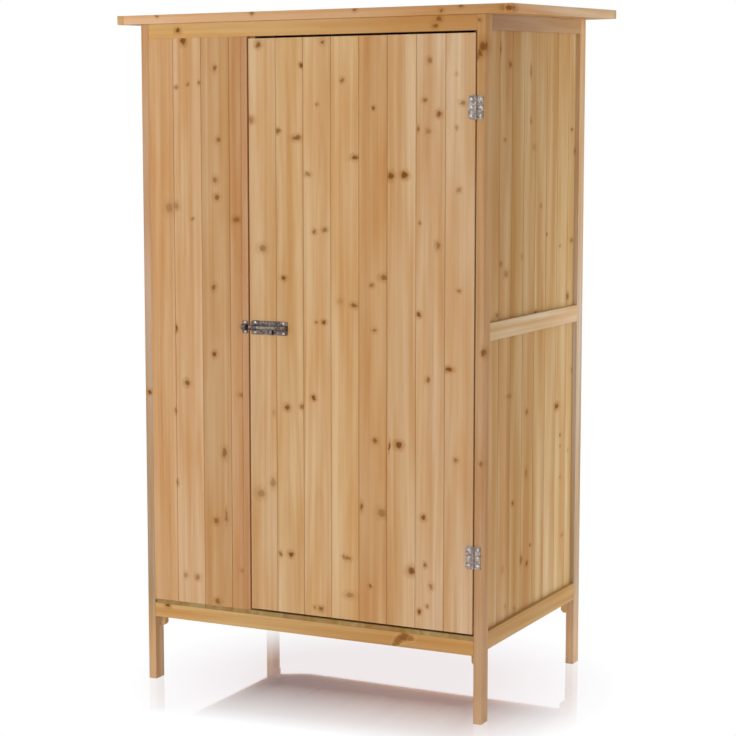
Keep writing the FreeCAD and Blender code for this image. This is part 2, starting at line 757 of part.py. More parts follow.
def hinge_leaf(side, centre):
    """side is 1 for the leaf on the leg, which has the outer knuckles, and -1 for the door's."""
    face = "(knuckle_radius - plate_thickness)"
    plate_left = PLATE_START if side > 0 else "-leaf_width"
    plate = box(f"leaf_width - {PLATE_START}", "plate_thickness", "hinge_height")
    solids = [shift(plate, plate_left, face, "-hinge_height / 2")]
    for knuckle in range(0 if side > 0 else 1, KNUCKLES, 2):
        bottom = f"{knuckle} * {KNUCKLE_PITCH} - hinge_height / 2 + knuckle_clearance / 2"
        height = f"{KNUCKLE_PITCH} - knuckle_clearance"
        tab = box(PLATE_START, "plate_thickness", height)
        solids.append(shift(tab, "0" if side > 0 else f"-{PLATE_START}", face, bottom))
        solids.append(shift(cylinder("knuckle_radius", height), z=bottom))
    bore = shift(cylinder("pin_radius + pin_clearance", "2 * hinge_height"), z="-hinge_height")
    blank = cut(fuse(*solids), bore)
    place(blank, HINGE_AXIS, "(-knuckle_radius)", centre)
    screws_x = f"{HINGE_AXIS} + {side} * hinge_screw_offset"
    places = [(screws_x, f"{centre} + {step} * hinge_screw_pitch") for step in (-1, 0, 1)]
    return cut(blank, group(*at_screws(sunk_hole, places)))


def hinge_pin(centre):
    shank = shift(cylinder("pin_radius", "hinge_height"), z="-hinge_height / 2")
    top = shift(cylinder("pin_head_radius", "pin_head_height"), z="hinge_height / 2")
    foot = shift(cylinder("pin_head_radius", "pin_head_height"), z="-hinge_height / 2 - pin_head_height")
    return place(fuse(shank, top, foot), HINGE_AXIS, "(-knuckle_radius)", centre)


for name, centre in HINGE_CENTRES.items():
    part(hinge_leaf(1, centre), f"{name}_hinge_leg_leaf")
    part(hinge_leaf(-1, centre), f"{name}_hinge_door_leaf")
    part(hinge_pin(centre), f"{name}_hinge_pin")
part(group(*at_screws(wood_screw, LEG_SCREWS)), "hinge_leg_screws")
part(group(*at_screws(wood_screw, DOOR_SCREWS)), "hinge_door_screws")


# Barrel bolt. Along X rounds its guides and rod, whose axis stands off the door's face.
ALONG_X = Rotation(Vector(0, 1, 0), 90)
ROD_AXIS = f"(-{ROD_AXIS_OUT})"


def rounded_plate(width, height, radius):
    """A flat plate with rounded corners, standing against the front face."""
    long_way = box(f"{width} - 2 * {radius}", "plate_thickness", height)
    tall_way = box(width, "plate_thickness", f"{height} - 2 * {radius}")
    solids = [shift(long_way, radius, "0", "0"), shift(tall_way, "0", "0", radius)]
    for x in (radius, f"{width} - {radius}"):
        for z in (radius, f"{height} - {radius}"):
            solids.append(shift(cylinder(radius, "plate_thickness"), x, "0", z, INTO_WOOD))
    return fuse(*solids)


def guide(left, length, bore):
    """A pressed guide round the rod: a saddle on the plate with a bore through it."""
    barrel = place(cylinder(GUIDE_RADIUS, length), left, ROD_AXIS, "bolt_height", ALONG_X)
    saddle = box(length, f"{ROD_AXIS_OUT} - plate_thickness / 2", f"2 * {GUIDE_RADIUS}")
    place(saddle, left, ROD_AXIS, f"bolt_height - {GUIDE_RADIUS}")
    hole = place(cylinder(bore, length), left, ROD_AXIS, "bolt_height", ALONG_X)
    return cut(fuse(barrel, saddle), hole)


def bolt_plate():
    plate = rounded_plate("bolt_plate_length", "bolt_plate_height", "bolt_corner_radius")
    place(plate, PLATE_LEFT, "(-plate_thickness)", "bolt_height - bolt_plate_height / 2")
    bore = "rod_radius + rod_clearance"
    left = guide(f"({PLATE_LEFT} + guide_inset)", "left_guide_length", bore)
    right_start = f"({PLATE_LEFT} + bolt_plate_length - guide_inset - right_guide_length)"
    right = guide(right_start, "right_guide_length", bore)
    return cut(fuse(plate, left, right), group(*at_screws(sunk_hole, BOLT_SCREWS)))


def bolt_rod():
    """The rod's nose is a short taper; its knob hangs down between the guides."""
    tip = f"({DOOR_LEFT} + board_gap)"
    nose = cone("rod_radius - rod_nose", "rod_radius", "rod_nose")
    place(nose, tip, ROD_AXIS, "bolt_height", ALONG_X)
    shank = cylinder("rod_radius", "rod_length - rod_nose")
    place(shank, f"{tip} + rod_nose", ROD_AXIS, "bolt_height", ALONG_X)
    stem = cylinder("knob_radius", "knob_drop")
    place(stem, f"{tip} + knob_setback", ROD_AXIS, "bolt_height - knob_drop")
    ball = doc.addObject("Part::Sphere", "ball")
    bind(ball, "Radius", "knob_ball_radius")
    place(ball, f"{tip} + knob_setback", ROD_AXIS, "bolt_height - knob_drop")
    return fuse(nose, shank, stem, ball)


def bolt_keep():
    left = f"({KEEP_CENTRE} - keep_width / 2)"
    plate = rounded_plate("keep_width", "keep_height", "keep_corner_radius")
    place(plate, left, "(-plate_thickness)", "bolt_height - keep_height / 2")
    start = f"({KEEP_CENTRE} - keep_guide_length / 2)"
    catch = guide(start, "keep_guide_length", "rod_radius + keep_clearance")
    return cut(fuse(plate, catch), group(*at_screws(sunk_hole, KEEP_SCREWS)))


part(bolt_plate(), "bolt_plate")
part(bolt_rod(), "bolt_rod")
part(bolt_keep(), "bolt_keep")
part(group(*at_screws(wood_screw, BOLT_SCREWS)), "bolt_plate_screws")
part(group(*at_screws(wood_screw, KEEP_SCREWS)), "bolt_keep_screws")

doc.recompute()

faults = [f"{thing.Name} {thing.State}" for thing in doc.Objects if {"Invalid", "Error"} & set(thing.State)]
for thing in parts:
    if thing.Shape.isNull() or not thing.Shape.isValid() or not thing.Shape.Solids:
        faults.append(f"{thing.Label} has no sound shape")
if faults:
    raise RuntimeError("; ".join(faults))

os.makedirs("parts", exist_ok=True)
for thing in parts:
    thing.Shape.exportStep(f"parts/{thing.Label}.step")

whole = Part.makeCompound([thing.Shape for thing in parts])
bounds = whole.BoundBox
print("sub-parts", len(parts), "solids", len(whole.Solids))
print("x %.2f to %.2f, y %.2f to %.2f, z %.2f to %.2f" % (
    bounds.XMin, bounds.XMax, bounds.YMin, bounds.YMax, bounds.ZMin, bounds.ZMax))
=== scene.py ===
# %% [markdown]
# # A garden storage cabinet in fir
#
# The real cabinet is a light box of planed fir. Four square-cut legs carry thin rails. Narrow tongued
# and grooved boards close the walls, and a ledged door hangs on two zinc-plated butt hinges. A barrel
# bolt shuts it. The roof slopes towards the front.
#
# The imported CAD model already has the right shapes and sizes. This script keeps it as a fixed frame,
# eases the timber's edges, adds the small nails and gives each piece its finish.

import json
import math
import random

import bmesh
import bpy
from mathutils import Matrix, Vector


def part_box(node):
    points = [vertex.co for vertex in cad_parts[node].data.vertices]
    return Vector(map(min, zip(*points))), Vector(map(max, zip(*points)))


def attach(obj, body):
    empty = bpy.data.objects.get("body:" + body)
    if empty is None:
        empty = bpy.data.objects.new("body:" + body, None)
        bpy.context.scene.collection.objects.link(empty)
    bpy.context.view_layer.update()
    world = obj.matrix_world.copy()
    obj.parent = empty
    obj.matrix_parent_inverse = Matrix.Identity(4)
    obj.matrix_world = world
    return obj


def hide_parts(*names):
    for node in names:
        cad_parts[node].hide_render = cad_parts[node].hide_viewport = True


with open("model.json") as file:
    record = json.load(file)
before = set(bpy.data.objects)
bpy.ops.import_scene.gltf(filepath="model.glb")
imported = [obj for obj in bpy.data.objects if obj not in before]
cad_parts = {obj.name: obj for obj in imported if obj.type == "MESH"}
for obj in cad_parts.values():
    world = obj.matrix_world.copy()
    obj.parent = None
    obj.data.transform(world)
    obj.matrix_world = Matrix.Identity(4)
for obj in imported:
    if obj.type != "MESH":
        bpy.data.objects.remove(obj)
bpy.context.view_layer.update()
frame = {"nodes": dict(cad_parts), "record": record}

# %% [markdown]
# ## The few sizes that everything else follows
#
# The wood's pattern changes from board to board, so it has to know where each row of boards starts and
# how much a board covers. The front plane is where the legs' front faces are. Two planes are read from
# the frame, and the other sizes are the ones that the CAD model was drawn with.

# %% Sizes in metres
MM = 0.001
BOARD_COVER = 61.5 * MM
LEG_DEPTH = 31.5 * MM
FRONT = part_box("right_front_leg")[0].y
WALL_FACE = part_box("right_side_boards")[1].x
# The inner faces of the side walls and of the back wall.
INSIDE = 364 * MM
BACK_INSIDE = FRONT + 516.5 * MM
# Where the door's, the fixed panel's and the roof's rows of boards start, and what the panel's cover.
DOOR_START = -130.5 * MM
PANEL_START, PANEL_COVER = -372 * MM, 65.5 * MM
ROOF_START = -420.5 * MM
ROOF_SLOPE = math.radians(2)
print("front plane", round(FRONT, 5), "wall face", round(WALL_FACE, 4), "back, inside", round(BACK_INSIDE, 4))

# %% [markdown]
# ## Three small helpers
#
# Colours are picked as sRGB hex codes, as a paint chart gives them. Blender's sockets want linear
# light, so one function turns one into the other. Another adds a node, sets its properties and fills
# its sockets, with a value or with a link. Shader and geometry trees use the same function. Sockets
# that have no clear name go by number: a Map Range reads its value from 1 to 2 and gives 3 to 4, and a
# Mix of colours has them at 6 and 7.

# %% Helpers
def linear(code):
    """The linear RGBA of an sRGB hex colour."""
    values = [int(code[i:i + 2], 16) / 255 for i in (1, 3, 5)]
    return [v / 12.92 if v <= 0.04045 else ((v + 0.055) / 1.055) ** 2.4 for v in values] + [1.0]


def add(tree, kind, sockets=None, stops=(), **settings):
    """Adds a node with its settings. sockets maps an input's name or number to a value or to the output
    that feeds it. stops are a Color Ramp's (place, colour) pairs."""
    node = tree.nodes.new(kind)
    for name, value in settings.items():
        setattr(node, name, value)
    for key, value in (sockets or {}).items():
        if isinstance(value, bpy.types.NodeSocket):
            tree.links.new(value, node.inputs[key])
        else:
            node.inputs[key].default_value = value
    if stops:
        elements = node.color_ramp.elements
        while len(elements) < len(stops):
            elements.new(0.5)
        for element, (place, colour) in zip(elements, stops):
            element.position = place
            element.color = colour
    return node


def new_finish(name):
    """A new material and its node tree, emptied."""
    finish = bpy.data.materials.new(name)
    finish.use_nodes = True
    finish.node_tree.nodes.clear()
    return finish, finish.node_tree


print("honey fir in linear light", [round(v, 3) for v in linear("#C89E6E")])

# %% [markdown]
# ## The camera
#
# The photograph is taken a little above the middle of the cabinet, from the front and right. A lens
# near 96 mm on a 36 mm wide sensor gives its weak perspective. The place and angles come from lining
# up some fifty corners of the real cabinet.

# %% Camera
LENS_MM, SENSOR_MM = 96.22, 36
CAMERA_PLACE = (1.8484, -3.7052, 1.1252)
DEGREES_DOWN, DEGREES_LEFT = 6.542, 26.570

lens = bpy.data.cameras.new("studio_camera")
lens.lens = LENS_MM
lens.sensor_width = SENSOR_MM
lens.clip_end = 60
camera = bpy.data.objects.new("studio_camera", lens)
camera.location = CAMERA_PLACE
camera.rotation_euler = (math.radians(90 - DEGREES_DOWN), 0, math.radians(DEGREES_LEFT))
bpy.context.scene.collection.objects.link(camera)
bpy.context.scene.camera = camera
bpy.context.scene.view_settings.view_transform = "Standard"
print("camera is", round(camera.location.length, 2), "m from the origin")

# %% [markdown]
# ## The studio
#
# The picture has a white sweep, a polished white table and big soft lamps. A world that shows white
# to the camera and to mirrors, but lights the scene with less, gives the white background and leaves
# the wood its colour.

# %% World
AMBIENT = 0.36
world = bpy.data.worlds.new("white_sweep")
world.use_nodes = True
bpy.context.scene.world = world
tree = world.node_tree
tree.nodes.clear()
path = add(tree, "ShaderNodeLightPath")
seen = add(tree, "ShaderNodeMath", {0: path.outputs["Is Camera Ray"], 1: path.outputs["Is Glossy Ray"]},
           operation="MAXIMUM")
seen = add(tree, "ShaderNodeMath", {0: seen.outputs[0], 1: path.outputs["Is Transmission Ray"]},
           operation="MAXIMUM")
strength = add(tree, "ShaderNodeMath", {0: seen.outputs[0], 1: 1 - AMBIENT, 2: AMBIENT},
               operation="MULTIPLY_ADD")
sky = add(tree, "ShaderNodeBackground", {"Color": (1, 1, 1, 1), "Strength": strength.outputs[0]})
add(tree, "ShaderNodeOutputWorld", {"Surface": sky.outputs[0]})
print("ambient", AMBIENT)

# %% [markdown]
# The table is a polished white acrylic sheet. The lower one looks at it, the more of a mirror it is. At the
# picture's low angle about half of it is the mirror image of the legs and the dark underside. The rest is the
# sheet's own white, painted a little lilac at that angle: the lilac is painted shade, the colour of the shadow
# under the cabinet. Half of that white is a glow for camera rays, which keeps it from going grey and adds no
# light to the object.

# %% Table, its own white
LEAST_MIRROR, MOST_MIRROR = 0.06, 0.66
HALF_GLOW = 0.5
bpy.ops.mesh.primitive_plane_add(size=40)
floor = bpy.context.object
floor.name = "studio_floor"
gloss, tree = new_finish("polished_white_acrylic")
place = add(tree, "ShaderNodeTexCoord").outputs["Object"]
camera_ray = add(tree, "ShaderNodeLightPath").outputs["Is Camera Ray"]
facing = add(tree, "ShaderNodeLayerWeight", {"Blend": 0.5}).outputs["Facing"]
mirror_share = add(tree, "ShaderNodeMapRange",
                   {0: facing, 1: 0.2, 2: 0.75, 3: LEAST_MIRROR, 4: MOST_MIRROR}).outputs[0]
# The lilac end of this mix is painted shade, the colour of the shadow under the cabinet.
hue = add(tree, "ShaderNodeMix", {0: mirror_share, 6: linear("#F4F1F3"), 7: linear("#F2D3E2")},
          data_type="RGBA").outputs[2]
matt = add(tree, "ShaderNodeBsdfDiffuse", {"Color": hue})
# A glow for camera rays in the painted shade's lilac.
lilac_shade_glow = add(tree, "ShaderNodeEmission", {"Color": hue, "Strength": 1.05})
lift = add(tree, "ShaderNodeMath", {0: camera_ray, 1: HALF_GLOW}, operation="MULTIPLY")
own_white = add(tree, "ShaderNodeMixShader", {0: lift.outputs[0], 1: matt.outputs[0], 2: lilac_shade_glow.outputs[0]})
print("table mirrors", LEAST_MIRROR, "from above and up to", MOST_MIRROR, "from low down")

# %% [markdown]
# In the photograph the mirror image is a little shorter than a flat mirror gives, and more so at the
# right. The real sheet must bow. So the mirror's normal leans towards the viewer, by 1.1 degrees at the
# left and 2.1 degrees at the right, as if the sheet swept up a little away from the camera.

# %% Table, its bowed mirror
LEAN_LEFT, LEAN_RIGHT = math.radians(1.1), math.radians(2.1)
LEFT_ENDS, RIGHT_STARTS = -0.18, -0.08
TOWARDS_VIEWER = (0.447, -0.894, 0)
side = add(tree, "ShaderNodeSeparateXYZ", {0: place}).outputs["X"]
lean = add(tree, "ShaderNodeMapRange",
           {0: side, 1: LEFT_ENDS, 2: RIGHT_STARTS, 3: LEAN_LEFT, 4: LEAN_RIGHT},
           interpolation_type="SMOOTHSTEP")
tipped = add(tree, "ShaderNodeVectorMath", {0: TOWARDS_VIEWER, "Scale": lean.outputs[0]}, operation="SCALE")
tipped = add(tree, "ShaderNodeVectorMath", {0: tipped.outputs[0], 1: (0, 0, 1)}, operation="ADD")
tipped = add(tree, "ShaderNodeVectorMath", {0: tipped.outputs[0]}, operation="NORMALIZE")
mirror = add(tree, "ShaderNodeBsdfAnisotropic",
             {"Color": (1, 1, 1, 1), "Roughness": 0.05, "Normal": tipped.outputs[0]})
sheet = add(tree, "ShaderNodeMixShader", {0: mirror_share, 1: own_white.outputs[0], 2: mirror.outputs[0]})
print("mirror leans", round(math.degrees(LEAN_LEFT), 1), "to", round(math.degrees(LEAN_RIGHT), 1), "degrees")

# %% [markdown]
# The picture's table burns out to plain white away from the cabinet and towards the viewer. A white
# glow for camera rays does that here. It is placed by the floor's own coordinates: it grows with the
# distance from the cabinet, and in two steps with the distance in front of it.

# %% Table, burnt out to white
FORWARDS = (0.076, -0.997, 0)
UNDER_CABINET = (0.05, -0.08, 0)
GLOW_STARTS, GLOW_FULL = 0.26, 0.52
forward = add(tree, "ShaderNodeVectorMath", {0: place, 1: FORWARDS}, operation="DOT_PRODUCT").outputs["Value"]
in_front = add(tree, "ShaderNodeValToRGB", {0: forward},
               stops=((0.19, (0, 0, 0, 1)), (0.39, (0.62, 0.62, 0.62, 1)), (0.47, (1, 1, 1, 1))))
away = add(tree, "ShaderNodeVectorMath", {0: place, 1: UNDER_CABINET}, operation="DISTANCE").outputs["Value"]
around = add(tree, "ShaderNodeMapRange", {0: away, 1: GLOW_STARTS, 2: GLOW_FULL, 3: 0.0, 4: 1.0})
glow = add(tree, "ShaderNodeMath", {0: in_front.outputs[0], 1: around.outputs[0]}, operation="MAXIMUM")
glow = add(tree, "ShaderNodeMath", {0: glow.outputs[0], 1: camera_ray}, operation="MULTIPLY")
white = add(tree, "ShaderNodeEmission", {"Color": (1, 1, 1, 1), "Strength": 1.0})
surface = add(tree, "ShaderNodeMixShader", {0: glow.outputs[0], 1: sheet.outputs[0], 2: white.outputs[0]})
add(tree, "ShaderNodeOutputMaterial", {"Surface": surface.outputs[0]})
floor.data.materials.append(gloss)
print("floor", [round(v, 1) for v in floor.dimensions])

# %% [markdown]
# A large soft box stands at the left of the camera and above it, so the front is brighter than the
# side, and a weaker one at the right fills the side. A tall strip lamp stands close behind the right
# rear corner. Light falls off fast from a near lamp, so the side wall grows lighter towards the back,
# as it does in the picture.
#
# The lit table throws light back up. Three weak lamps that lie on it and look up do that: two bluish
# ones from the white table in front and at the right, and a warm one under the cabinet, where the
# wood colours it.

# %% Lamps
def soft_box(name, place, aim, size, watts, hue="#FFFFFF"):
    """An area lamp, size metres wide and high, that looks from place to aim."""
    lamp = bpy.data.lights.new(name, "AREA")
    lamp.color = linear(hue)[:3]
    lamp.shape = "RECTANGLE"
    lamp.size, lamp.size_y = size
    lamp.energy = watts
    body = bpy.data.objects.new(name, lamp)
    body.location = place
    body.rotation_euler = (Vector(aim) - Vector(place)).to_track_quat("-Z", "Y").to_euler()
    body.visible_camera = False
    body.visible_glossy = False
    bpy.context.scene.collection.objects.link(body)


COOL, WARM = "#D2DEFF", "#FFE4C4"
soft_box("key_soft_box", (-1.5, -3.6, 1.75), (0, 0, 0.7), (2.2, 2.8), 66)
soft_box("fill_soft_box", (2.4, -2.4, 0.5), (0.2, 0, 0.55), (1.2, 1.4), 27)
soft_box("rear_strip", (1.05, 0.75, 0.8), (0.38, 0.1, 0.7), (0.4, 1.7), 5.6)
soft_box("table_bounce_front", (-0.3, -0.72, 0.01), (-0.3, -0.72, 1), (1.4, 0.8), 1.2, COOL)
soft_box("table_bounce_right", (0.85, 0, 0.01), (0.85, 0, 1), (0.8, 1.1), 2.8, COOL)
soft_box("table_bounce_under", (0.1, 0.02, 0.01), (0.1, 0.02, 1), (0.5, 0.4), 0.5, WARM)

# %% [markdown]
# ## Fir, as a solid texture
#
# A board is a slice of a log, so its grain is a solid pattern: rings round the log's middle, cut by
# the board's faces. Image textures stretch over a face and break at its edges. A pattern worked out
# from Object coordinates runs through the piece, and its end grain comes by itself.
#
# Each board of a wall is cut from its own log. A wall is one piece, so the pattern counts the boards
# from the first joint, and the number of the board that a point lies in picks its slice and its tone.

# %% Which board a point lies in
def middle_of(node):
    low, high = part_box(node)
    return (low + high) / 2


# Rows with different seeds are this far apart in the chance values.
SEED_STEP = 7.31


def steps_from(t, place, axis, start, cover):
    """How far a point lies past start along an axis, counted in covers."""
    part = add(t, "ShaderNodeSeparateXYZ", {0: place}).outputs[axis]
    past = add(t, "ShaderNodeMath", {0: part, 1: start}, operation="SUBTRACT")
    return add(t, "ShaderNodeMath", {0: past.outputs[0], 1: cover}, operation="DIVIDE").outputs[0]


def own_board(t, place, steps, axis, start, cover, seed):
    """The board's number, the point's place from the board's middle line, and the board's chance values."""
    number = add(t, "ShaderNodeMath", {0: steps}, operation="FLOOR").outputs[0]
    line = add(t, "ShaderNodeMath", {0: number, 1: cover, 2: start + cover / 2}, operation="MULTIPLY_ADD")
    shift = add(t, "ShaderNodeCombineXYZ", {axis: line.outputs[0]})
    base = add(t, "ShaderNodeVectorMath", {0: place, 1: shift.outputs[0]}, operation="SUBTRACT")
    key = add(t, "ShaderNodeMath", {0: number, 1: seed * SEED_STEP}, operation="ADD")
    chance = add(t, "ShaderNodeTexWhiteNoise", {"W": key.outputs[0]}, noise_dimensions="1D")
    return number, base.outputs[0], chance.outputs


print("boards cover", BOARD_COVER / MM, "mm")

# %% [markdown]
# The log's middle lies 20 to 70 mm behind the board's face, and it isn't quite parallel to the board.
# A trunk isn't round either: slow noise, stretched along it, moves the rings by up to 7 mm.

# %% Where a point lies in its log
TURN = {"Z": (0, 0, 0), "X": (0, math.pi / 2, 0), "Y": (-math.pi / 2, 0, 0)}
TILT = 0.008
# A board's slice lies up to 45 mm to a side, 20 to 70 mm deep, and anywhere in 3 m of the log.
SLICE_RANGE, SLICE_FROM = (.09, .05, 3), (-.045, .02, 0)
BEND = 14 * MM
# Spots per metre of each pattern, across the log and along it. Resin patches are some 30 mm wide and
# 300 mm long. Real fibres are finer than a pixel here, so they are drawn 1.5 mm wide and 90 mm long.
SWAY, PATCH, FIBRE = (14, 1.1), (30, 3.2), (650, 11)
STREAK_ALONG = 1.3


def grain(t, at, across, along, detail=2.0):
    """Noise drawn out along the log, with so many spots in a metre across it and along it."""
    squeezed = add(t, "ShaderNodeVectorMath", {0: at, 1: (across, across, along)}, operation="MULTIPLY")
    return add(t, "ShaderNodeTexNoise", {"Vector": squeezed.outputs[0], "Scale": 1.0, "Detail": detail}).outputs


def in_log(t, base, middle, along, rng, chance):
    """A point's place in its log, whose middle is the Z axis: in a straight log, and in the real one."""
    tilt = [a + b for a, b in zip(TURN[along], (rng.uniform(-TILT, TILT), rng.uniform(-TILT, TILT), 0))]
    turned = add(t, "ShaderNodeMapping", {"Vector": base, "Location": middle, "Rotation": tilt},
                 vector_type="TEXTURE")
    if chance is not None:
        slice_at = add(t, "ShaderNodeVectorMath", {0: chance["Color"], 1: SLICE_RANGE, 2: SLICE_FROM},
                       operation="MULTIPLY_ADD")
    else:
        slice_at = add(t, "ShaderNodeCombineXYZ", {0: rng.uniform(-.03, .03), 1: rng.uniform(.03, .07),
                                                   2: rng.uniform(0, 9)})
    log = add(t, "ShaderNodeVectorMath", {0: turned.outputs[0], 1: slice_at.outputs[0]}, operation="ADD")
    sway = grain(t, log.outputs[0], *SWAY)["Color"]
    bent = add(t, "ShaderNodeVectorMath", {0: sway, 1: (BEND, BEND, 0), 2: log.outputs[0]},
               operation="MULTIPLY_ADD")
    return log.outputs[0], bent.outputs[0]


print("logs tilt by up to", round(math.degrees(TILT), 2), "degrees")

# %% [markdown]
# A knot is where a branch grew. Fir boards of this grade carry so many that each material has a chain
# of small node groups, one for each knot. A group measures how far a point lies from its knot's middle,
# in knot radii, and passes on the nearest one so far with how dark it is.

# %% The node group of one knot
knot_group = bpy.data.node_groups.new("knot", "ShaderNodeTree")
for name, kind in (("Place", "NodeSocketVector"), ("Middle", "NodeSocketVector"),
                   ("Inverse Radius", "NodeSocketVector"), ("Darkness", "NodeSocketFloat"),
                   ("Nearest So Far", "NodeSocketFloat"), ("Dark So Far", "NodeSocketFloat")):
    knot_group.interface.new_socket(name=name, in_out="INPUT", socket_type=kind)
for name in ("Nearest", "Dark"):
    knot_group.interface.new_socket(name=name, in_out="OUTPUT", socket_type="NodeSocketFloat")
given = add(knot_group, "NodeGroupInput").outputs
away = add(knot_group, "ShaderNodeVectorMath", {0: given["Place"], 1: given["Middle"]}, operation="SUBTRACT")
away = add(knot_group, "ShaderNodeVectorMath", {0: away.outputs[0], 1: given["Inverse Radius"]},
           operation="MULTIPLY")
radii = add(knot_group, "ShaderNodeVectorMath", {0: away.outputs[0]}, operation="LENGTH").outputs["Value"]
nearer = add(knot_group, "ShaderNodeMath", {0: radii, 1: given["Nearest So Far"]}, operation="LESS_THAN")
least = add(knot_group, "ShaderNodeMath", {0: radii, 1: given["Nearest So Far"]}, operation="MINIMUM")
dark = add(knot_group, "ShaderNodeMix", {0: nearer.outputs[0], 2: given["Dark So Far"], 3: given["Darkness"]})
add(knot_group, "NodeGroupOutput", {"Nearest": least.outputs[0], "Dark": dark.outputs[0]})
print("knot group", len(knot_group.nodes), "nodes")

# %% The chain of knots
NO_KNOT_NEAR = 9.0
# Outlines waver by 4 mm to each side, in spots 8 mm wide.
KNOT_WAVER, KNOT_SPOTS = 8 * MM, 130.0
# In knot radii: where the halo ends and where it is full, and the same for the core.
HALO_ENDS, HALO_FULL, CORE_ENDS, CORE_FULL = 3.2, 0.9, 1.5, 0.55


def nearest_knot(t, place, knots):
    """The nearest knot's distance in its own radii, and its darkness. Noise makes outlines uneven."""
    crumb = add(t, "ShaderNodeTexNoise", {"Vector": place, "Scale": KNOT_SPOTS, "Detail": 2.0}).outputs["Color"]
    uneven = add(t, "ShaderNodeVectorMath", {0: crumb, 1: (KNOT_WAVER,) * 3, 2: (-KNOT_WAVER / 2,) * 3},
                 operation="MULTIPLY_ADD")
    uneven = add(t, "ShaderNodeVectorMath", {0: place, 1: uneven.outputs[0]}, operation="ADD").outputs[0]
    nearest, dark = NO_KNOT_NEAR, 0.0
    for middle, radii, darkness in knots:
        step = add(t, "ShaderNodeGroup",
                   {"Place": uneven, "Middle": middle, "Inverse Radius": [1 / r if r else 0 for r in radii],
                    "Darkness": darkness, "Nearest So Far": nearest, "Dark So Far": dark},
                   node_tree=knot_group).outputs
        nearest, dark = step["Nearest"], step["Dark"]
    return nearest, dark


print("no knot near counts as", NO_KNOT_NEAR, "radii")

# %% [markdown]
# Fir has growth rings 2 to 4 mm apart, each a wide pale band that ends in a thin dark one. The ring's
# number grows with the distance from the log's middle, unevenly, because years differ, and a knot
# pushes the rings round it aside.

# %% Growth rings
RING = 3.6 * MM
# In rings: how far years move one, and how far a knot does.
YEARS_DIFFER, KNOT_PUSH = 2.4, 0.9


def growth_rings(t, bent, halo=None):
    """0 in the pale early wood, 1 in the dark late wood. halo is 1 at a knot and 0 away from it."""
    flat = add(t, "ShaderNodeVectorMath", {0: bent, 1: (1, 1, 0)}, operation="MULTIPLY")
    radius = add(t, "ShaderNodeVectorMath", {0: flat.outputs[0]}, operation="LENGTH").outputs["Value"]
    count = add(t, "ShaderNodeMath", {0: radius, 1: 1 / RING}, operation="MULTIPLY").outputs[0]
    years = add(t, "ShaderNodeTexNoise", {"W": count, "Scale": 0.35, "Detail": 1.0}, noise_dimensions="1D")
    count = add(t, "ShaderNodeMath", {0: years.outputs["Fac"], 1: YEARS_DIFFER, 2: count},
                operation="MULTIPLY_ADD").outputs[0]
    if halo is not None:
        count = add(t, "ShaderNodeMath", {0: halo, 1: KNOT_PUSH, 2: count},
                    operation="MULTIPLY_ADD").outputs[0]
    phase = add(t, "ShaderNodeMath", {0: count}, operation="FRACT").outputs[0]
    black, pale, white = (0, 0, 0, 1), (.08, .08, .08, 1), (1, 1, 1, 1)
    return add(t, "ShaderNodeValToRGB", {0: phase},
               stops=((0, black), (.35, pale), (.84, white), (.93, white), (1, black))).outputs[0]


print("rings every", RING / MM, "mm")

# %% [markdown]
# The wood's colour is built up in layers. The bottom one is the board's tone, and over it lie sap and resin,
# late wood, streaks of heart wood and fine fibres. On the floor and on some bars that tone also holds painted
# light and painted shade. A tone is matched to the photograph as the wood's mean colour, so it is divided by the
# mean of the resin over it.

# %% Tones and layers
RESIN = "#F6E7D2"
LATE_WOOD, HEART_WOOD, FIBRES = "#B07A3C", "#DDBF91", "#E2C093"
OTHER_TREE = "#EFD8B8"
KNOT_HALO, JOINT_GRIME = "#9C662A", "#6E4520"


def toned(code):
    """A tone in linear light, divided by the mean of the resin that lies over half of it."""
    return [v / ((1 + resin) / 2) for v, resin in zip(linear(code), linear(RESIN))]


def layered(t, colour, layers):
    """Lays colours over one. A layer has its mode, the value that drives it, the two ends between which
    that value is read, the most that the layer covers, and its colour."""
    for mode, value, low, high, most, code in layers:
        share = add(t, "ShaderNodeMapRange", {0: value, 1: low, 2: high, 3: 0, 4: most}).outputs[0]
        colour = add(t, "ShaderNodeMix", {0: share, 6: colour, 7: linear(code)},
                     data_type="RGBA", blend_type=mode).outputs[2]
    return colour


def tone_and_painted_light(t, tones, steps, number, chance):
    """tones are one colour, or one for each board in turn, or a long bar's (place, colour) pairs. A bar's pairs
    can hold painted light and painted shade as well as the wood's tone.
    """
    if len(tones) == 1:
        return toned(tones[0])
    if chance is None:
        return add(t, "ShaderNodeValToRGB", {0: steps},
                   stops=[(at, toned(code)) for at, code in tones]).outputs[0]
    kinds = len(tones)
    turn = add(t, "ShaderNodeMath", {0: number, 1: kinds}, operation="FLOORED_MODULO")
    turn = add(t, "ShaderNodeMath", {0: turn.outputs[0], 1: 1 / kinds, 2: 0.5 / kinds}, operation="MULTIPLY_ADD")
    pick = add(t, "ShaderNodeValToRGB", {0: turn.outputs[0]},
               stops=[(i / kinds, toned(code)) for i, code in enumerate(tones)])
    pick.color_ramp.interpolation = "CONSTANT"
    # Boards of one tone still differ a little.
    return layered(t, pick.outputs[0], (("MULTIPLY", chance["Value"], 0, 1, .3, OTHER_TREE),))


print("resin in linear light", [round(v, 3) for v in linear(RESIN)])

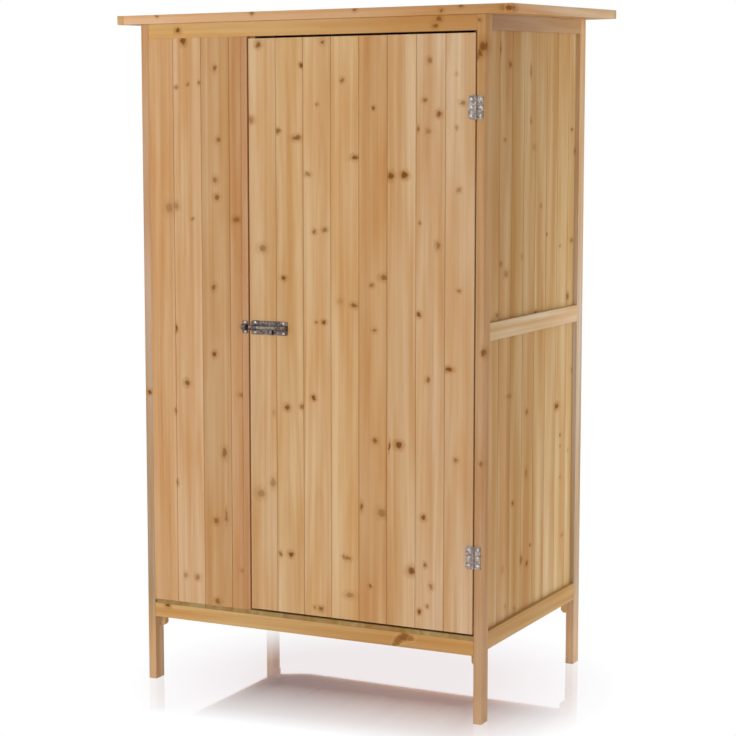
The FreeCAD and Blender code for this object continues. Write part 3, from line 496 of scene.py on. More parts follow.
# %% Dark joints and brown knots
def grimy_joints(t, colour, steps, cover, grime):
    """Darkens a row's boards towards their joints, over the last 2 mm."""
    inside = add(t, "ShaderNodeMath", {0: steps}, operation="FRACT")
    side = add(t, "ShaderNodeMath", {0: inside.outputs[0], 1: 0.5}, operation="SUBTRACT")
    side = add(t, "ShaderNodeMath", {0: side.outputs[0]}, operation="ABSOLUTE").outputs[0]
    edge = add(t, "ShaderNodeMapRange", {0: side, 1: 0.5 - 2 * MM / cover, 2: 0.5, 3: 0.0, 4: grime},
               interpolation_type="SMOOTHSTEP").outputs[0]
    return add(t, "ShaderNodeMix", {0: edge, 6: colour, 7: linear(JOINT_GRIME)},
               data_type="RGBA", blend_type="MULTIPLY").outputs[2]


def brown_knots(t, colour, nearest, dark, halo):
    """Paints the knots: a warm halo, and a core that shows faint rings of its own. Gives the core too."""
    warm = add(t, "ShaderNodeMath", {0: halo, 1: dark}, operation="MULTIPLY").outputs[0]
    colour = layered(t, colour, (("MIX", warm, 0, 1, .6, KNOT_HALO),))
    rings = ((0, "#6E4316"), (.5, "#7F5226"), (.8, "#73481D"), (1, "#805325"))
    heart = add(t, "ShaderNodeValToRGB", {0: nearest}, stops=[(at, linear(code)) for at, code in rings])
    core = add(t, "ShaderNodeMapRange", {0: nearest, 1: CORE_ENDS, 2: CORE_FULL, 3: 0.0, 4: 1.0},
               interpolation_type="SMOOTHSTEP")
    core = add(t, "ShaderNodeMath", {0: core.outputs[0], 1: dark}, operation="MULTIPLY")
    core = add(t, "ShaderNodeMath", {0: core.outputs[0], 1: 1.25}, operation="MULTIPLY",
               use_clamp=True).outputs[0]
    return add(t, "ShaderNodeMix", {0: core, 6: colour, 7: heart.outputs[0]}, data_type="RGBA").outputs[2], core


print("knot halo in linear light", [round(v, 3) for v in linear(KNOT_HALO)])

# %% [markdown]
# The finish itself is planed fir with a thin matt stain. Planed wood scatters light and shines only a
# little, so its roughness is about a half and its specular level is low. Late wood and fibres stand a
# quarter of a millimetre proud at most, which the bump gives.

# %% Fir finish
STREAK = 13 * MM


def fir(name, tones, node, along, seed, knots=(), across=None, start=0.0, cover=BOARD_COVER, grime=0.0,
        streaks=0.55, streak=STREAK, rings=0.12):
    """Planed fir, placed for a CAD node. along is the grain's axis. In a row of boards, across is the
    row's axis, start its first joint and cover a board's width. A bar whose tones change along it has its
    low end at start and its length as cover. knots are (middle, radii, darkness) in metres. grime is how
    dark the joints are, streaks and rings how strong those are, and streak how wide a streak is."""
    finish, t = new_finish(name)
    rng = random.Random(seed)
    place = add(t, "ShaderNodeTexCoord").outputs["Object"]
    middle = list(middle_of(node))
    base, steps, number, chance, halo = place, None, None, None, None
    if across or len(tones) > 1:
        axis = "XYZ".index(across or along)
        steps = steps_from(t, place, axis, start, cover)
    if across:
        middle[axis] = 0
        number, base, chance = own_board(t, place, steps, axis, start, cover, seed)
    log, bent = in_log(t, base, middle, along, rng, chance)
    if knots:
        nearest, dark = nearest_knot(t, place, knots)
        halo = add(t, "ShaderNodeMapRange", {0: nearest, 1: HALO_ENDS, 2: HALO_FULL, 3: 0.0, 4: 1.0},
                   interpolation_type="SMOOTHSTEP").outputs[0]
    ring = growth_rings(t, bent, halo)
    patch = grain(t, bent, *PATCH)["Fac"]
    band = grain(t, bent, 1 / streak, STREAK_ALONG, detail=1.5)["Fac"]
    fibre = grain(t, log, *FIBRE)["Fac"]
    colour = layered(t, tone_and_painted_light(t, tones, steps, number, chance), (
        ("MULTIPLY", patch, .35, .65, 1, RESIN), ("MIX", ring, 0, 1, rings, LATE_WOOD),
        ("MULTIPLY", band, .3, .7, streaks, HEART_WOOD), ("MULTIPLY", fibre, .3, .75, .1, FIBRES)))
    height = add(t, "ShaderNodeMath", {0: ring, 1: 0.5, 2: fibre}, operation="MULTIPLY_ADD").outputs[0]
    if grime:
        colour = grimy_joints(t, colour, steps, cover, grime)
    if knots:
        colour, core = brown_knots(t, colour, nearest, dark, halo)
        height = add(t, "ShaderNodeMath", {0: core, 1: 0.6, 2: height}, operation="MULTIPLY_ADD").outputs[0]
    rough = add(t, "ShaderNodeMapRange", {0: fibre, 1: 0.3, 2: 0.7, 3: 0.48, 4: 0.62}).outputs[0]
    bump = add(t, "ShaderNodeBump", {"Strength": 0.35, "Distance": 0.25 * MM, "Height": height})
    wood = add(t, "ShaderNodeBsdfPrincipled",
               {"Base Color": colour, "Roughness": rough, "Specular IOR Level": 0.04, "Normal": bump.outputs[0]})
    add(t, "ShaderNodeOutputMaterial", {"Surface": wood.outputs[0]})
    return finish


def dress(node, finish):
    """Gives a CAD node one finish all over."""
    mesh = frame["nodes"][node].data
    mesh.materials.clear()
    mesh.materials.append(finish)


print("streaks", STREAK / MM, "mm wide, rings", RING / MM, "mm apart")

# %% [markdown]
# ## The knots that the photograph shows
#
# The knots on the front and on the right side are listed one by one, as millimetres across and up, with their
# half width, half height and darkness. A knot runs right through a thin board, so it has no radius in the third
# direction. The walls that the photograph doesn't show get knots by chance.

# %% Knots of the front
FRONT_KNOTS = (
    (-319, 992, 7.7, 9.2, .32), (-308, 575, 2.2, 5.4, .45), (-305, 424, 2.2, 5, .38),
    (-304, 746, 2.2, 5.4, .78), (-302, 996, 5.8, 6.1, .36), (-299, 1236, 3.8, 3.6, .43),
    (-288, 230, 3.9, 5.1, .37), (-282, 1328, 5.2, 6, .84), (-280, 634, 5.3, 5, .67),
    (-271, 1242, 2.8, 2.8, .42), (-263, 971, 3.1, 3, .4), (-259, 229, 4.9, 4.7, .45),
    (-245, 1245, 2.4, 3.2, .57), (-214, 697, 4.3, 4.5, .79), (-214, 833, 4.3, 4.9, .6),
    (-213, 352, 5.3, 5.4, .57), (-212, 183, 5.8, 5.1, .61), (-209, 1050, 4.7, 5.2, .48),
    (-208, 1273, 3.7, 4.8, .64), (-205, 1015, 4.7, 4.8, .61), (-201, 1130, 4.2, 4.4, .51),
    (-192, 495, 5.2, 8.3, .56), (-189, 364, 3.3, 10.4, .46), (-159, 971, 7.9, 5.2, .57),
    (-151, 253, 6.2, 4.2, .27), (-149, 616, 6.6, 4.1, .46), (-141, 969, 3.7, 3.6, .65),
    (-125, 1170, 5.5, 6.3, .4), (-107, 417, 8.4, 7.4, .38), (-107, 1317, 5, 5.1, .66), (-100, 915, 6.9, 6, .46),
    (-79, 442, 6, 8.2, .37), (-76, 585, 3.7, 6.1, .18), (-63, 1148, 4.5, 4.3, .58), (-62, 297, 3.2, 4.1, .55),
    (-52, 857, 4.6, 4, .88), (-45, 597, 5, 4.9, .74), (-38, 298, 4.6, 4.5, .85), (-21, 1134, 8.1, 4.3, .64),
    (-12, 601, 3.6, 4.4, .51), (-11, 1275, 3.3, 3.5, 1), (3, 1063, 5.8, 3.1, .47), (15, 620, 4.1, 4, .83),
    (16, 195, 3, 2.9, .41), (17, 951, 4, 3.9, .52), (21, 771, 2.7, 2.8, .53), (24, 1200, 2.7, 3.5, .4),
    (31, 193, 4.3, 4.1, .68), (36, 1319, 4, 3.5, .64), (38, 772, 4, 3.6, .76), (40, 954, 4.4, 3.9, .54),
    (74, 815, 6.2, 5.9, .18), (79, 1245, 3.9, 3.8, .5), (82, 304, 2.9, 3.2, .45), (91, 302, 5.4, 3.6, .54),
    (95, 228, 8.1, 4.9, .4), (105, 808, 5.3, 3.9, .66), (107, 1096, 6.1, 3.9, .73), (121, 409, 2.7, 7.2, .67),
    (140, 251, 3.1, 3.6, .64), (144, 849, 3.9, 3.5, .49), (147, 1191, 3, 3.4, .71), (150, 761, 3.9, 3.5, .46),
    (151, 543, 4.4, 4.4, .61), (166, 400, 8.8, 7.2, .42), (170, 864, 6.9, 4.7, .59), (182, 533, 1.3, 7.9, .9),
    (185, 1061, 5.1, 5.8, .89), (203, 538, 6.1, 5.5, 1), (214, 1063, 5.5, 5.4, 1), (231, 290, 7.4, 6.4, .76),
    (243, 1151, 1.7, 4.9, .58), (245, 795, 3.8, 4.3, .76), (247, 972, 2.5, 2.7, .56), (248, 211, 3.5, 4, .86),
    (256, 399, 4.3, 4.4, .72), (257, 1205, 3.8, 3.8, .55), (260, 305, 3, 3.6, .55), (265, 223, 2.6, 3.2, .49),
    (265, 669, 3.8, 4.7, .59), (265, 1147, 5.4, 4.9, .3), (267, 1280, 3.8, 5.6, .47), (273, 263, 3.4, 5.2, .48),
    (285, 929, 4.2, 6.1, .47), (286, 1179, 5, 4.9, .71), (309, 692, 6.3, 3.9, .97), (323, 1254, 2.5, 3.4, .2),
    (324, 1153, 2.9, 3.8, .32), (325, 517, 3.8, 3.9, .46), (329, 1036, 3.7, 4.2, .38),
    (330, 844, 3.3, 3.1, .44), (335, 1199, 4.9, 3.4, .51))


def front_knots(low, high):
    """The front knots whose middles lie between low and high, which are metres across."""
    return [((x * MM, FRONT, z * MM), (w * MM, None, h * MM), dark)
            for x, z, w, h, dark in FRONT_KNOTS if low <= x * MM < high]


print("front knots", len(FRONT_KNOTS))

# %% Knots of the right side
# These are given from the legs' front faces backwards, and up. The picture shows this side at a slant
# and blurred, which makes its knots look wider than they are.
SIDE_KNOTS = (
    (84, 793, 8, 3.9, .49), (94, 1303, 3.5, 7.6, .6), (102, 891, 7, 4.7, .4), (117, 1130, 8, 3.5, .38),
    (122, 282, 8.2, 8.1, .22), (128, 870, 12.2, 6.3, .37), (137, 205, 7.8, 4.1, .2), (142, 1275, 7.1, 5, .67),
    (148, 627, 15.5, 3.6, .32), (172, 408, 7.4, 4.1, .64), (184, 191, 6.4, 3.3, .4), (210, 899, 9.5, 5.6, .22),
    (219, 284, 7.5, 8.3, .52), (242, 458, 7.6, 8.2, .38), (243, 584, 8.1, 4.5, .49), (249, 1266, 4.2, 9.8, .57),
    (250, 271, 7.1, 4.2, .74), (251, 1168, 4.3, 5.9, .39), (267, 306, 4.4, 2.9, .64),
    (268, 1116, 10.8, 4.8, .2), (285, 782, 8.8, 3.3, .86), (310, 997, 6.6, 4, .33), (344, 939, 3.4, 2.5, .91),
    (410, 576, 11.6, 5.1, .87), (419, 911, 5.8, 2.5, .39), (431, 512, 4.7, 2.6, .69), (432, 488, 4.7, 2.6, .3),
    (434, 421, 5.9, 3, .34), (448, 294, 9.5, 3.9, .26), (466, 803, 8.9, 6.4, .6), (477, 473, 6, 4.3, .18),
    (481, 1152, 5.9, 2.5, .69), (486, 920, 9.5, 3.8, .51), (495, 643, 7.2, 4.3, .25),
    (504, 1107, 8.4, 5.5, .78))
SIDE_BLUR = 0.75
side_knots = [((WALL_FACE, FRONT + y * MM, z * MM), (None, w * MM * SIDE_BLUR, h * MM), dark)
              for y, z, w, h, dark in SIDE_KNOTS]
print("side knots", len(side_knots))

# %% Knots at chance places
def scattered(count, low, high, through, seed):
    """Knots at chance places between two corners, each running right through along one axis."""
    rng = random.Random(seed)
    found = []
    for _ in range(count):
        at = [rng.uniform(a, b) for a, b in zip(low, high)]
        radii = [rng.uniform(2.5, 5.5) * MM for _ in range(3)]
        radii[through] = None
        found.append((at, radii, rng.uniform(0.4, 0.9)))
    return found


print("a chance knot", [round(v, 3) for v in scattered(1, *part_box("back_boards"), 1, 4)[0][0]])

# %% [markdown]
# ## Boards of the walls and the door
#
# The boards are the palest wood on the cabinet. Some are straw coloured, some more honey or amber,
# because they come from different trees. Those that the photograph shows have tones matched to it one
# by one. The door's boards are separate pieces, so each has its own material, and a wall is one piece
# with its boards told apart by their number.

# %% Boards of the front
DOOR_TONES = ("#CEAE84", "#CDAC7E", "#CFAE82", "#CFAC7D", "#C39A6A", "#CCAB81", "#CCAD87", "#CCAD87")
PANEL_TONES = ("#D2AD81", "#D2B087", "#C6A479", "#C39A6E")
for i, tone in enumerate(DOOR_TONES, 1):
    node = f"door_board_{i}"
    low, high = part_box(node)
    dress(node, fir(f"planed_knotty_fir_door_{i}", (tone,), node, "Z", 20 + i, front_knots(low.x, high.x),
                    across="X", start=DOOR_START))
low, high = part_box("front_fixed_boards")
dress("front_fixed_boards", fir("planed_knotty_fir_front_panel", PANEL_TONES, "front_fixed_boards", "Z", 5,
                                front_knots(low.x, high.x), across="X", start=PANEL_START, cover=PANEL_COVER))
print("front panel knots", len(front_knots(low.x, high.x)))

# %% Boards of the right wall
# This wall's boards show fainter rings and broader streaks than the front's.
WALL_GRIME = 0.15
RIGHT_WALL_TONES = ("#C6AA7F", "#C0A175", "#BD9F6F", "#C6AB80", "#CAB185", "#CBB083", "#CBAF80", "#D1BA8E")
dress("right_side_boards", fir("planed_knotty_fir_right_wall", RIGHT_WALL_TONES, "right_side_boards", "Z", 7,
                               side_knots, across="Y", start=FRONT + LEG_DEPTH, grime=WALL_GRIME,
                               streaks=0.8, streak=42 * MM, rings=0.06))
print("right wall dressed in", len(RIGHT_WALL_TONES), "tones")

# %% Boards of the other walls, the floor, the shelves and the roof
# The floor boards are darker and greener than the walls, and their darkness is partly painted shade for the
# cabinet's underside, which the table mirrors. Each row gives its node, finish, tones, grain axis, seed, knots
# (their number, the axis that they run along and their seed), the row's axis, its first joint, and how grimy the
# joints are.
STRAW, HONEY, AMBER, CREAM, TOFFEE, OLIVE = "#D0AE7C", "#CDAC79", "#C7A06C", "#CDAD7F", "#C49A69", "#C4A168"
BOARD_ROWS = (
    ("left_side_boards", "planed_knotty_fir_left_wall", (HONEY, STRAW, OLIVE, STRAW, HONEY), "Z", 9,
     (26, 0, 3), "Y", FRONT + LEG_DEPTH, WALL_GRIME),
    ("back_boards", "planed_knotty_fir_back_wall", (STRAW, HONEY, CREAM, AMBER, HONEY), "Z", 11,
     (34, 1, 4), "X", -INSIDE, WALL_GRIME),
    # The floor's dark tones hold painted shade for the underside that the table mirrors.
    ("floor_boards", "planed_fir_floor", ("#9F8656", "#A49061", "#9D8154"), "Y", 13,
     (14, 2, 5), "X", -INSIDE, 0),
    ("roof_boards", "sawn_fir_roof_boards", (AMBER, HONEY, TOFFEE), "Y", 15, (0, 2, 0), "X", ROOF_START, 0),
    ("lower_shelf_boards", "planed_fir_lower_shelf_boards", (STRAW, CREAM, HONEY), "X", 17,
     (12, 2, 17), "Y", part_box("lower_shelf_boards")[0].y, 0),
    ("upper_shelf_boards", "planed_fir_upper_shelf_boards", (STRAW, CREAM, HONEY), "X", 19,
     (12, 2, 19), "Y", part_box("upper_shelf_boards")[0].y, 0),
)
for node, name, tones, along, seed, (count, through, knot_seed), across, start, grime in BOARD_ROWS:
    knots = scattered(count, *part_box(node), through, knot_seed)
    dress(node, fir(name, tones, node, along, seed, knots, across=across, start=start, grime=grime))
print("rows dressed", [row[0] for row in BOARD_ROWS])

# %% [markdown]
# ## Legs, rails and fascias with eased edges
#
# The real timber went through a planer, and its edges were eased with a touch of sandpaper. A CAD bar
# has edges of no width, which catch no light. Each bar is copied, its loose triangles are merged and
# its long edges get a small rounding. The copy then stands for the CAD node.

# %% Eased copies
EASE = 0.8 * MM
SAME_POINT, SAME_PLANE = 1e-6, math.radians(0.4)
SHORTEST_EASED, SHARP = 7 * MM, math.radians(30)
slot_of = {part["node"]: part["material_slot"] for part in frame["record"]["subparts"]}
body_of = {node: body for body, nodes in frame["record"]["behaviour"]["bodies"].items() for node in nodes}


def eased(node):
    """A merged copy of a CAD node whose long edges are rounded by EASE."""
    mesh = bmesh.new()
    mesh.from_mesh(frame["nodes"][node].data)
    bmesh.ops.remove_doubles(mesh, verts=mesh.verts, dist=SAME_POINT)
    bmesh.ops.dissolve_limit(mesh, angle_limit=SAME_PLANE, verts=mesh.verts, edges=mesh.edges)
    long_edges = [edge for edge in mesh.edges if edge.is_manifold and edge.calc_length() > SHORTEST_EASED
                  and edge.calc_face_angle() > SHARP]
    bmesh.ops.bevel(mesh, geom=long_edges, offset=EASE, offset_type="OFFSET", segments=2, profile=0.5,
                    affect="EDGES", clamp_overlap=True)
    shape = bpy.data.meshes.new(f"eased_{node}")
    mesh.to_mesh(shape)
    mesh.free()
    piece = bpy.data.objects.new(f"eased_{node}", shape)
    bpy.context.scene.collection.objects.link(piece)
    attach(piece, body_of[node])
    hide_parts(node)
    return piece


print("edges rounded by", EASE / MM, "mm")

# %% Every bar, by the axis that its grain runs along
ALONG = {
    "Z": ("left_front_leg", "left_rear_leg", "right_front_leg", "right_rear_leg", "front_post", "door_stop",
          "corner_cleats"),
    "X": ("front_top_rail", "front_bottom_rail", "front_fascia", "rear_fascia", "back_top_rail",
          "back_mid_rail", "back_bottom_rail", "floor_bearers", "fixed_panel_battens", "door_top_ledge",
          "door_middle_ledge", "door_bottom_ledge"),
    "Y": ("left_fascia", "right_fascia", "left_top_rail", "left_mid_rail", "left_bottom_rail",
          "right_top_rail", "right_mid_rail", "right_bottom_rail", "shelf_battens", "shelf_cleats"),
}
bars = {node: (eased(node), axis) for axis, nodes in ALONG.items() for node in nodes}
bars["door_braces"] = (eased("door_braces"), "Z")
print("eased", len(bars), "pieces,", sum(len(piece.data.polygons) for piece, _ in bars.values()), "faces")

# %% [markdown]
# The frame's wood is more golden than the boards. The floor bearers under it are darker, partly as painted shade
# for the cabinet's underside, which the table mirrors. In the photograph the top rail and the front fascia
# darken towards the right. Each leg is painted palest at its foot, painted light from the table under it, and
# the right side's rails are painted darker towards their front ends, painted shade of the side's front and of
# the roof over it. So these bars have tones that run along them. Their knots are listed one by one too.

# %% Knots of the bars
# The bottom rail's run of knots is one long sloping knot. Its last entry lies under the rail, so that
# only its broad warm halo reaches the wood.
BAR_KNOTS = {
    "front_top_rail": ((-294, 1349, 5, 4, .9), (285, 1357, 5, 4, .7), (278, 1344, 5, 4, .7)),
    "front_bottom_rail": ((-333, 163, 5, 4, .9), (195, 139, 6, 5, .5), (200, 144, 8, 6, .6),
                          (205, 149, 9, 6, .6), (211, 154, 10, 6, .7), (217, 158, 11, 6, .7),
                          (226, 156, 10, 6, .5), (180, 0, 160, 85, 1)),
    "front_fascia": ((-339, 1379, 3, 2.5, .6), (-118, 1378, 4, 3, .6), (110, 1379, 4, 3, .6),
                     (292, 1372, 4, 3, .6), (333, 1380, 4, 3, .6), (417, 1374, 6, 5, .3)),
    "right_fascia": ((430, 1373, 5, 5, 1),),
    "right_front_leg": ((369, 1353, 3, 3, .6), (376, 1304, 7, 9, .8), (370, 1291, 5, 6, .8),
                        (366, 1283, 4, 4, .5), (380, 727, 3, 7, .7), (377, 513, 3, 4, .5)),
    "left_front_leg": ((-371, 610, 4, 4, .9),),
}
BAR_KNOT_DEPTH = 14 * MM


def bar_knots(node):
    """A bar's knots, which reach some way into it from the front plane."""
    return [((x * MM, FRONT, z * MM), (w * MM, BAR_KNOT_DEPTH, h * MM), dark)
            for x, z, w, h, dark in BAR_KNOTS.get(node, ())]


print("knots on bars", sum(len(knots) for knots in BAR_KNOTS.values()))

# %% Finishes of the bars
# Tones run from a bar's lower, left or front end, which is 0, to its other end.
BAR_TONES_AND_PAINTED_LIGHT = {
    # The floor bearers' dark tone is partly painted shade for the underside that the table mirrors.
    "front_bottom_rail": ("#CEA971",), "front_post": ("#C39972",), "floor_bearers": ("#A08C60",),
    "front_top_rail": ((0, "#D2AC72"), (1, "#BA8F5C")),
    "front_fascia": ((0, "#DFB78E"), (1, "#B88D5C")),
    "right_fascia": ((0, "#DBB188"), (1, "#D3BB98")),
    # The right side's rails are painted darker at their front ends: painted shade of the side's front and of the
    # roof.
    "right_top_rail": ((0, "#A88E76"), (1, "#C3A77F")),
    "right_mid_rail": ((0, "#CBB691"), (1, "#D9C4A5")),
    "right_bottom_rail": ((0, "#B99868"), (1, "#C09F69")),
    # The legs' lowest stops paint them paler at the foot: painted light that the lit table throws back up.
    "left_front_leg": ((0, "#DCBE9B"), (.07, "#CEAB81"), (.14, "#AE987A"), (.6, "#C7AB90"), (1, "#C2986D")),
    "right_front_leg": ((0, "#CCAB86"), (.05, "#B6926C"), (.45, "#BD9A75"), (1, "#BD9767")),
    "right_rear_leg": ((0, "#E5CAA8"), (.07, "#CBAF8E"), (.14, "#B7A284"), (.57, "#D0BEA7"), (1, "#D5B589")),
}
EVEN_WOOD = ("front_top_rail", "front_fascia")
for i, (node, (piece, axis)) in enumerate(bars.items()):
    tones = BAR_TONES_AND_PAINTED_LIGHT.get(node, (HONEY if slot_of[node] == "frame_fir" else CREAM,))
    low, high = (corner["XYZ".index(axis)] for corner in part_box(node))
    piece.data.materials.append(fir(f"planed_fir_{node}", tones, node, axis, 40 + i, bar_knots(node), start=low,
                                    cover=high - low, streaks=0.25 if node in EVEN_WOOD else 0.55))
print("bar finishes", len(bars))

# %% [markdown]
# ## Zinc-plated steel
#
# Hinges, bolt and screws are cheap pressed steel with bright zinc plating. The plating gives a cool grey metal
# with a soft shine, a faint cloudiness from the bath and dull spots where it is thin. Metal takes its whole look
# from what it mirrors. The rolled bolt plate is painted the dullest and darkest, in purplish greys that are
# painted shade and a painted dark reflection over its zinc. The hinge leaves and the drawn rod are brighter, and
# the turned screw heads are painted nearly white, as painted highlights of the lamps in their domes. So one
# recipe gives four finishes.

# %% Zinc finishes
def zinc_plate(name, dull, bright, rough):
    """Plated steel between two greys, with the lowest and highest roughness."""
    finish, t = new_finish(name)
    place = add(t, "ShaderNodeTexCoord").outputs["Object"]
    # The clouds are 4 mm wide. Polishing marks are finer than a pixel and are drawn 0.8 mm wide.
    cloud = add(t, "ShaderNodeTexNoise", {"Vector": place, "Scale": 240.0, "Detail": 2.0}).outputs["Fac"]
    marks = add(t, "ShaderNodeTexNoise", {"Vector": place, "Scale": 1200.0, "Detail": 1.0}).outputs["Fac"]
    spot = add(t, "ShaderNodeMapRange", {0: cloud, 1: 0.35, 2: 0.65}).outputs[0]
    tint = add(t, "ShaderNodeMix", {0: spot, 6: linear(dull), 7: linear(bright)}, data_type="RGBA")
    shine = add(t, "ShaderNodeMapRange", {0: spot, 3: rough[1], 4: rough[0]})
    bump = add(t, "ShaderNodeBump", {"Strength": 0.3, "Distance": 0.05 * MM, "Height": marks})
    steel = add(t, "ShaderNodeBsdfPrincipled", {"Base Color": tint.outputs[2], "Metallic": 1.0,
                                                "Roughness": shine.outputs[0], "Normal": bump.outputs[0]})
    add(t, "ShaderNodeOutputMaterial", {"Surface": steel.outputs[0]})
    return finish


# Pressed leaves: a cloudy shine. Rolled plate: painted dull and dark, painted shade and a painted dark
# reflection. Drawn rod: an even grey with a soft highlight along it. Turned heads: painted nearly white, as
# painted highlights.
leaf = zinc_plate("zinc_plated_hinge_leaf", "#857B75", "#C2B7AC", (0.26, 0.42))
# The bolt plate's dark purplish greys are painted shade and a painted dark reflection.
shaded_bolt_plate = zinc_plate("zinc_plated_bolt_plate", "#54474A", "#91857D", (0.3, 0.45))
drawn = zinc_plate("zinc_plated_drawn_rod", "#77756D", "#A3A298", (0.25, 0.4))
# The heads' near-white greys are painted highlights; the wall and door nails take this finish too.
turned = zinc_plate("zinc_plated_screw_head", "#D5CCC1", "#F3ECE2", (0.25, 0.4))
# The first word that a node's name holds picks its finish.
ZINC_KINDS = (("screws", turned), ("rod", drawn), ("hinge", leaf), ("bolt", shaded_bolt_plate))
metal_nodes = [node for node, slot in slot_of.items() if slot == "zinc_steel"]
for node in metal_nodes:
    dress(node, next(finish for word, finish in ZINC_KINDS if word in node))
print("zinc on", len(metal_nodes), "nodes")

# %% [markdown]
# ## Nails in rows
#
# The boards are nailed from the inside into the rails, two small nails to a board, one a little higher
# than the other. Clout nails with broad flat heads hold the felt along the roof's edges. A nail is
# the same again and again along a line, so Geometry Nodes place them. A mesh line gives the points,
# every second one is shifted, a little noise keeps them from standing like soldiers, and each point
# gets a head with a chamfered rim.

# %% A tree for a row of nail heads
HEAD_SIDES = 12
ROW_INPUTS = (("First", "Vector"), ("Step", "Vector"), ("Shift Of Every Second", "Vector"), ("Facing", "Vector"),
              ("Nails", "Int"), ("Head Radius", "Float"), ("Head Height", "Float"), ("Unevenness", "Float"),
              ("Seed", "Int"), ("Finish", "Material"))
row_tree = bpy.data.node_groups.new("nail_row", "GeometryNodeTree")
for name, kind in ROW_INPUTS:
    row_tree.interface.new_socket(name=name, in_out="INPUT", socket_type=f"NodeSocket{kind}")
row_tree.interface.new_socket(name="Heads", in_out="OUTPUT", socket_type="NodeSocketGeometry")
given = add(row_tree, "NodeGroupInput").outputs
line = add(row_tree, "GeometryNodeMeshLine",
           {"Count": given["Nails"], "Start Location": given["First"], "Offset": given["Step"]}, mode="OFFSET")
index = add(row_tree, "GeometryNodeInputIndex").outputs[0]
second = add(row_tree, "ShaderNodeMath", {0: index, 1: 2.0}, operation="MODULO")
shift = add(row_tree, "ShaderNodeVectorMath", {0: given["Shift Of Every Second"], "Scale": second.outputs[0]},
            operation="SCALE")
chance = add(row_tree, "FunctionNodeRandomValue", {0: (-1, -1, -1), 1: (1, 1, 1), "Seed": given["Seed"]},
             data_type="FLOAT_VECTOR")
# A cross product with the facing keeps the heads on the wood: they waver along it and not out of it.
flat = add(row_tree, "ShaderNodeVectorMath", {0: chance.outputs[0], 1: given["Facing"]},
           operation="CROSS_PRODUCT")
waver = add(row_tree, "ShaderNodeVectorMath", {0: flat.outputs[0], "Scale": given["Unevenness"]},
            operation="SCALE")
move = add(row_tree, "ShaderNodeVectorMath", {0: shift.outputs[0], 1: waver.outputs[0]}, operation="ADD")
points = add(row_tree, "GeometryNodeSetPosition", {"Geometry": line.outputs[0], "Offset": move.outputs[0]})
rim = add(row_tree, "ShaderNodeMath", {0: given["Head Radius"], 1: 0.8}, operation="MULTIPLY")
head = add(row_tree, "GeometryNodeMeshCone",
           {"Vertices": HEAD_SIDES, "Radius Top": rim.outputs[0], "Radius Bottom": given["Head Radius"],
            "Depth": given["Head Height"]})
turn = add(row_tree, "FunctionNodeAlignRotationToVector", {"Vector": given["Facing"]}, axis="Z")
heads = add(row_tree, "GeometryNodeInstanceOnPoints",
            {"Points": points.outputs[0], "Instance": head.outputs[0], "Rotation": turn.outputs[0]})
heads = add(row_tree, "GeometryNodeRealizeInstances", {0: heads.outputs[0]})
heads = add(row_tree, "GeometryNodeSetMaterial", {"Geometry": heads.outputs[0], "Material": given["Finish"]})
add(row_tree, "NodeGroupOutput", {"Heads": heads.outputs[0]})
print("nail row tree", len(row_tree.nodes), "nodes")

# %% Rows of nails, made into one mesh for each body
UNEVEN_BY = 0.9 * MM
SOCKET = {item.name: item.identifier for item in row_tree.interface.items_tree if item.in_out == "INPUT"}


def nail_rows(name, body, rows, radius, height, finish):
    """rows is a list of (first, step, shift, facing, number). All the heads become one plain mesh."""
    whole = bmesh.new()
    for seed, (first, step, shift, facing, number) in enumerate(rows):
        carrier = bpy.data.objects.new("carrier", bpy.data.meshes.new("carrier"))
        bpy.context.scene.collection.objects.link(carrier)
        modifier = carrier.modifiers.new("row", "NODES")
        modifier.node_group = row_tree
        values = (first, step, shift, facing, number, radius, height, UNEVEN_BY, seed, finish)
        for (key, _), value in zip(ROW_INPUTS, values):
            modifier[SOCKET[key]] = value
        ready = bpy.context.evaluated_depsgraph_get()
        part = bpy.data.meshes.new_from_object(carrier.evaluated_get(ready))
        whole.from_mesh(part)
        bpy.data.objects.remove(carrier)
        bpy.data.meshes.remove(part)
    shape = bpy.data.meshes.new(name)
    whole.to_mesh(shape)
    whole.free()
    shape.materials.append(finish)
    piece = bpy.data.objects.new(name, shape)
    bpy.context.scene.collection.objects.link(piece)
    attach(piece, body)
    # A head has its sides, a top and a bottom.
    print(name, "has", len(shape.polygons) // (HEAD_SIDES + 2), "heads")


# %% Nails of the walls and shelves
# The lower nails of each pair stand at these heights, in the line of a rail.
SIDE_RAILS, BACK_RAILS = (778 * MM, 1348 * MM), (756 * MM, 1350 * MM)
SHELVES = ("lower_shelf_boards", "upper_shelf_boards")
PITCH = BOARD_COVER / 2
NAIL_RADIUS, NAIL_HEIGHT = 1.3 * MM, 0.5 * MM
wall_rows = []
for z in SIDE_RAILS:
    for side in (-1, 1):
        wall_rows.append(((side * INSIDE, FRONT + LEG_DEPTH + PITCH / 2, z), (0, PITCH, 0), (0, 0, 9 * MM),
                          (-side, 0, 0), 15))
for z in BACK_RAILS:
    wall_rows.append(((-INSIDE + PITCH / 2, BACK_INSIDE, z), (PITCH, 0, 0), (0, 0, 7 * MM), (0, -1, 0), 23))
for node in SHELVES:
    low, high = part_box(node)
    for side in (-1, 1):
        wall_rows.append(((side * (high.x - 10 * MM), low.y + PITCH / 2, high.z), (0, PITCH, 0),
                          (side * -4 * MM, 0, 0), (0, 0, 1), int((high.y - low.y) / PITCH)))
# These nail heads take the screw heads' finish, painted nearly white as painted highlights.
nail_rows("wall_nails", "cabinet", wall_rows, NAIL_RADIUS, NAIL_HEIGHT, turned)

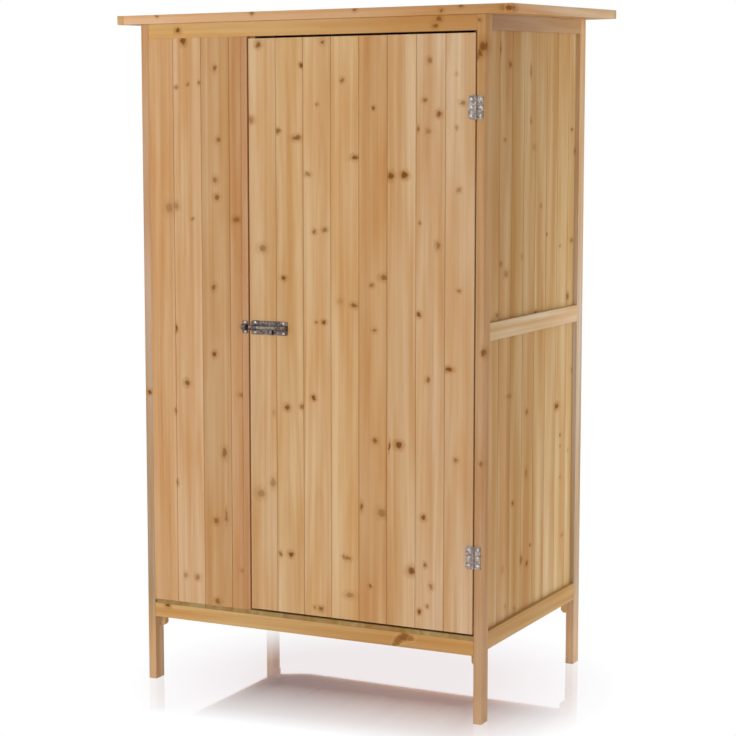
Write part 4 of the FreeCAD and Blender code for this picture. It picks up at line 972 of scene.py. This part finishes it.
# %% Nails of the door
# Each ledge has a zigzag of nails, 8 mm under and over its middle line.
door_rows = []
for node in ("door_top_ledge", "door_middle_ledge", "door_bottom_ledge"):
    low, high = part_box(node)
    number = int((high.x - low.x) / PITCH) - 1
    first = ((low.x + high.x - (number - 1) * PITCH) / 2, high.y, (low.z + high.z) / 2 - 8 * MM)
    door_rows.append((first, (PITCH, 0, 0), (0, 0, 16 * MM), (0, 1, 0), number))
# These nail heads take the screw heads' finish, painted nearly white as painted highlights.
nail_rows("door_nails", "door", door_rows, NAIL_RADIUS, NAIL_HEIGHT, turned)

# %% Clout nails of the felt
# The felt's upper face rises 2 degrees from its front edge. The heads follow it.
CLOUT_RADIUS, CLOUT_HEIGHT = 4.5 * MM, 0.9 * MM
ALONG_EDGE, ALONG_SIDE = 12, 6
low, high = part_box("roof_felt")
run = high.y - low.y


def on_felt(x, back):
    """The point on the felt's upper face at x, back metres behind its front edge."""
    return Vector((x, low.y + back, high.z - (run - back) * math.tan(ROOF_SLOPE)))


up = (0, -math.sin(ROOF_SLOPE), math.cos(ROOF_SLOPE))
felt_rows = []
for back in (14 * MM, run - 26 * MM):
    step = (high.x - low.x - 40 * MM) / (ALONG_EDGE - 1)
    felt_rows.append((on_felt(low.x + 20 * MM, back), (step, 0, 0), (0, 0, 0), up, ALONG_EDGE))
for x in (low.x + 14 * MM, high.x - 14 * MM):
    first, last = on_felt(x, 85 * MM), on_felt(x, run - 95 * MM)
    felt_rows.append((first, (last - first) / (ALONG_SIDE - 1), (0, 0, 0), up, ALONG_SIDE))
nail_rows("felt_nails", "cabinet", felt_rows, CLOUT_RADIUS, CLOUT_HEIGHT, leaf)

# %% [markdown]
# ## Roof felt
#
# Bitumen felt with slate granules pressed into its face. From above it reads as a dark grey-green
# sheet with pale and dark specks 1 to 2 mm wide, quite matt.

# %% Felt finish
felt, tree = new_finish("mineral_bitumen_felt")
place = add(tree, "ShaderNodeTexCoord").outputs["Object"]
grit = add(tree, "ShaderNodeTexVoronoi", {"Vector": place, "Scale": 700.0})
speck = add(tree, "ShaderNodeValToRGB", {0: grit.outputs["Color"]},
            stops=((0, linear("#232826")), (.45, linear("#3B423E")), (.8, linear("#59605B")),
                   (1, linear("#8B9089"))))
patch = add(tree, "ShaderNodeTexNoise", {"Vector": place, "Scale": 6.0, "Detail": 3.0}).outputs["Fac"]
tint = add(tree, "ShaderNodeMix", {0: patch, 6: speck.outputs[0], 7: linear("#4A504B")}, data_type="RGBA")
bump = add(tree, "ShaderNodeBump", {"Strength": 0.8, "Distance": 0.5 * MM, "Height": grit.outputs["Distance"]})
granules = add(tree, "ShaderNodeBsdfPrincipled",
               {"Base Color": tint.outputs[2], "Roughness": 0.92, "Normal": bump.outputs[0]})
add(tree, "ShaderNodeOutputMaterial", {"Surface": granules.outputs[0]})
dress("roof_felt", felt)
print("felt dressed")
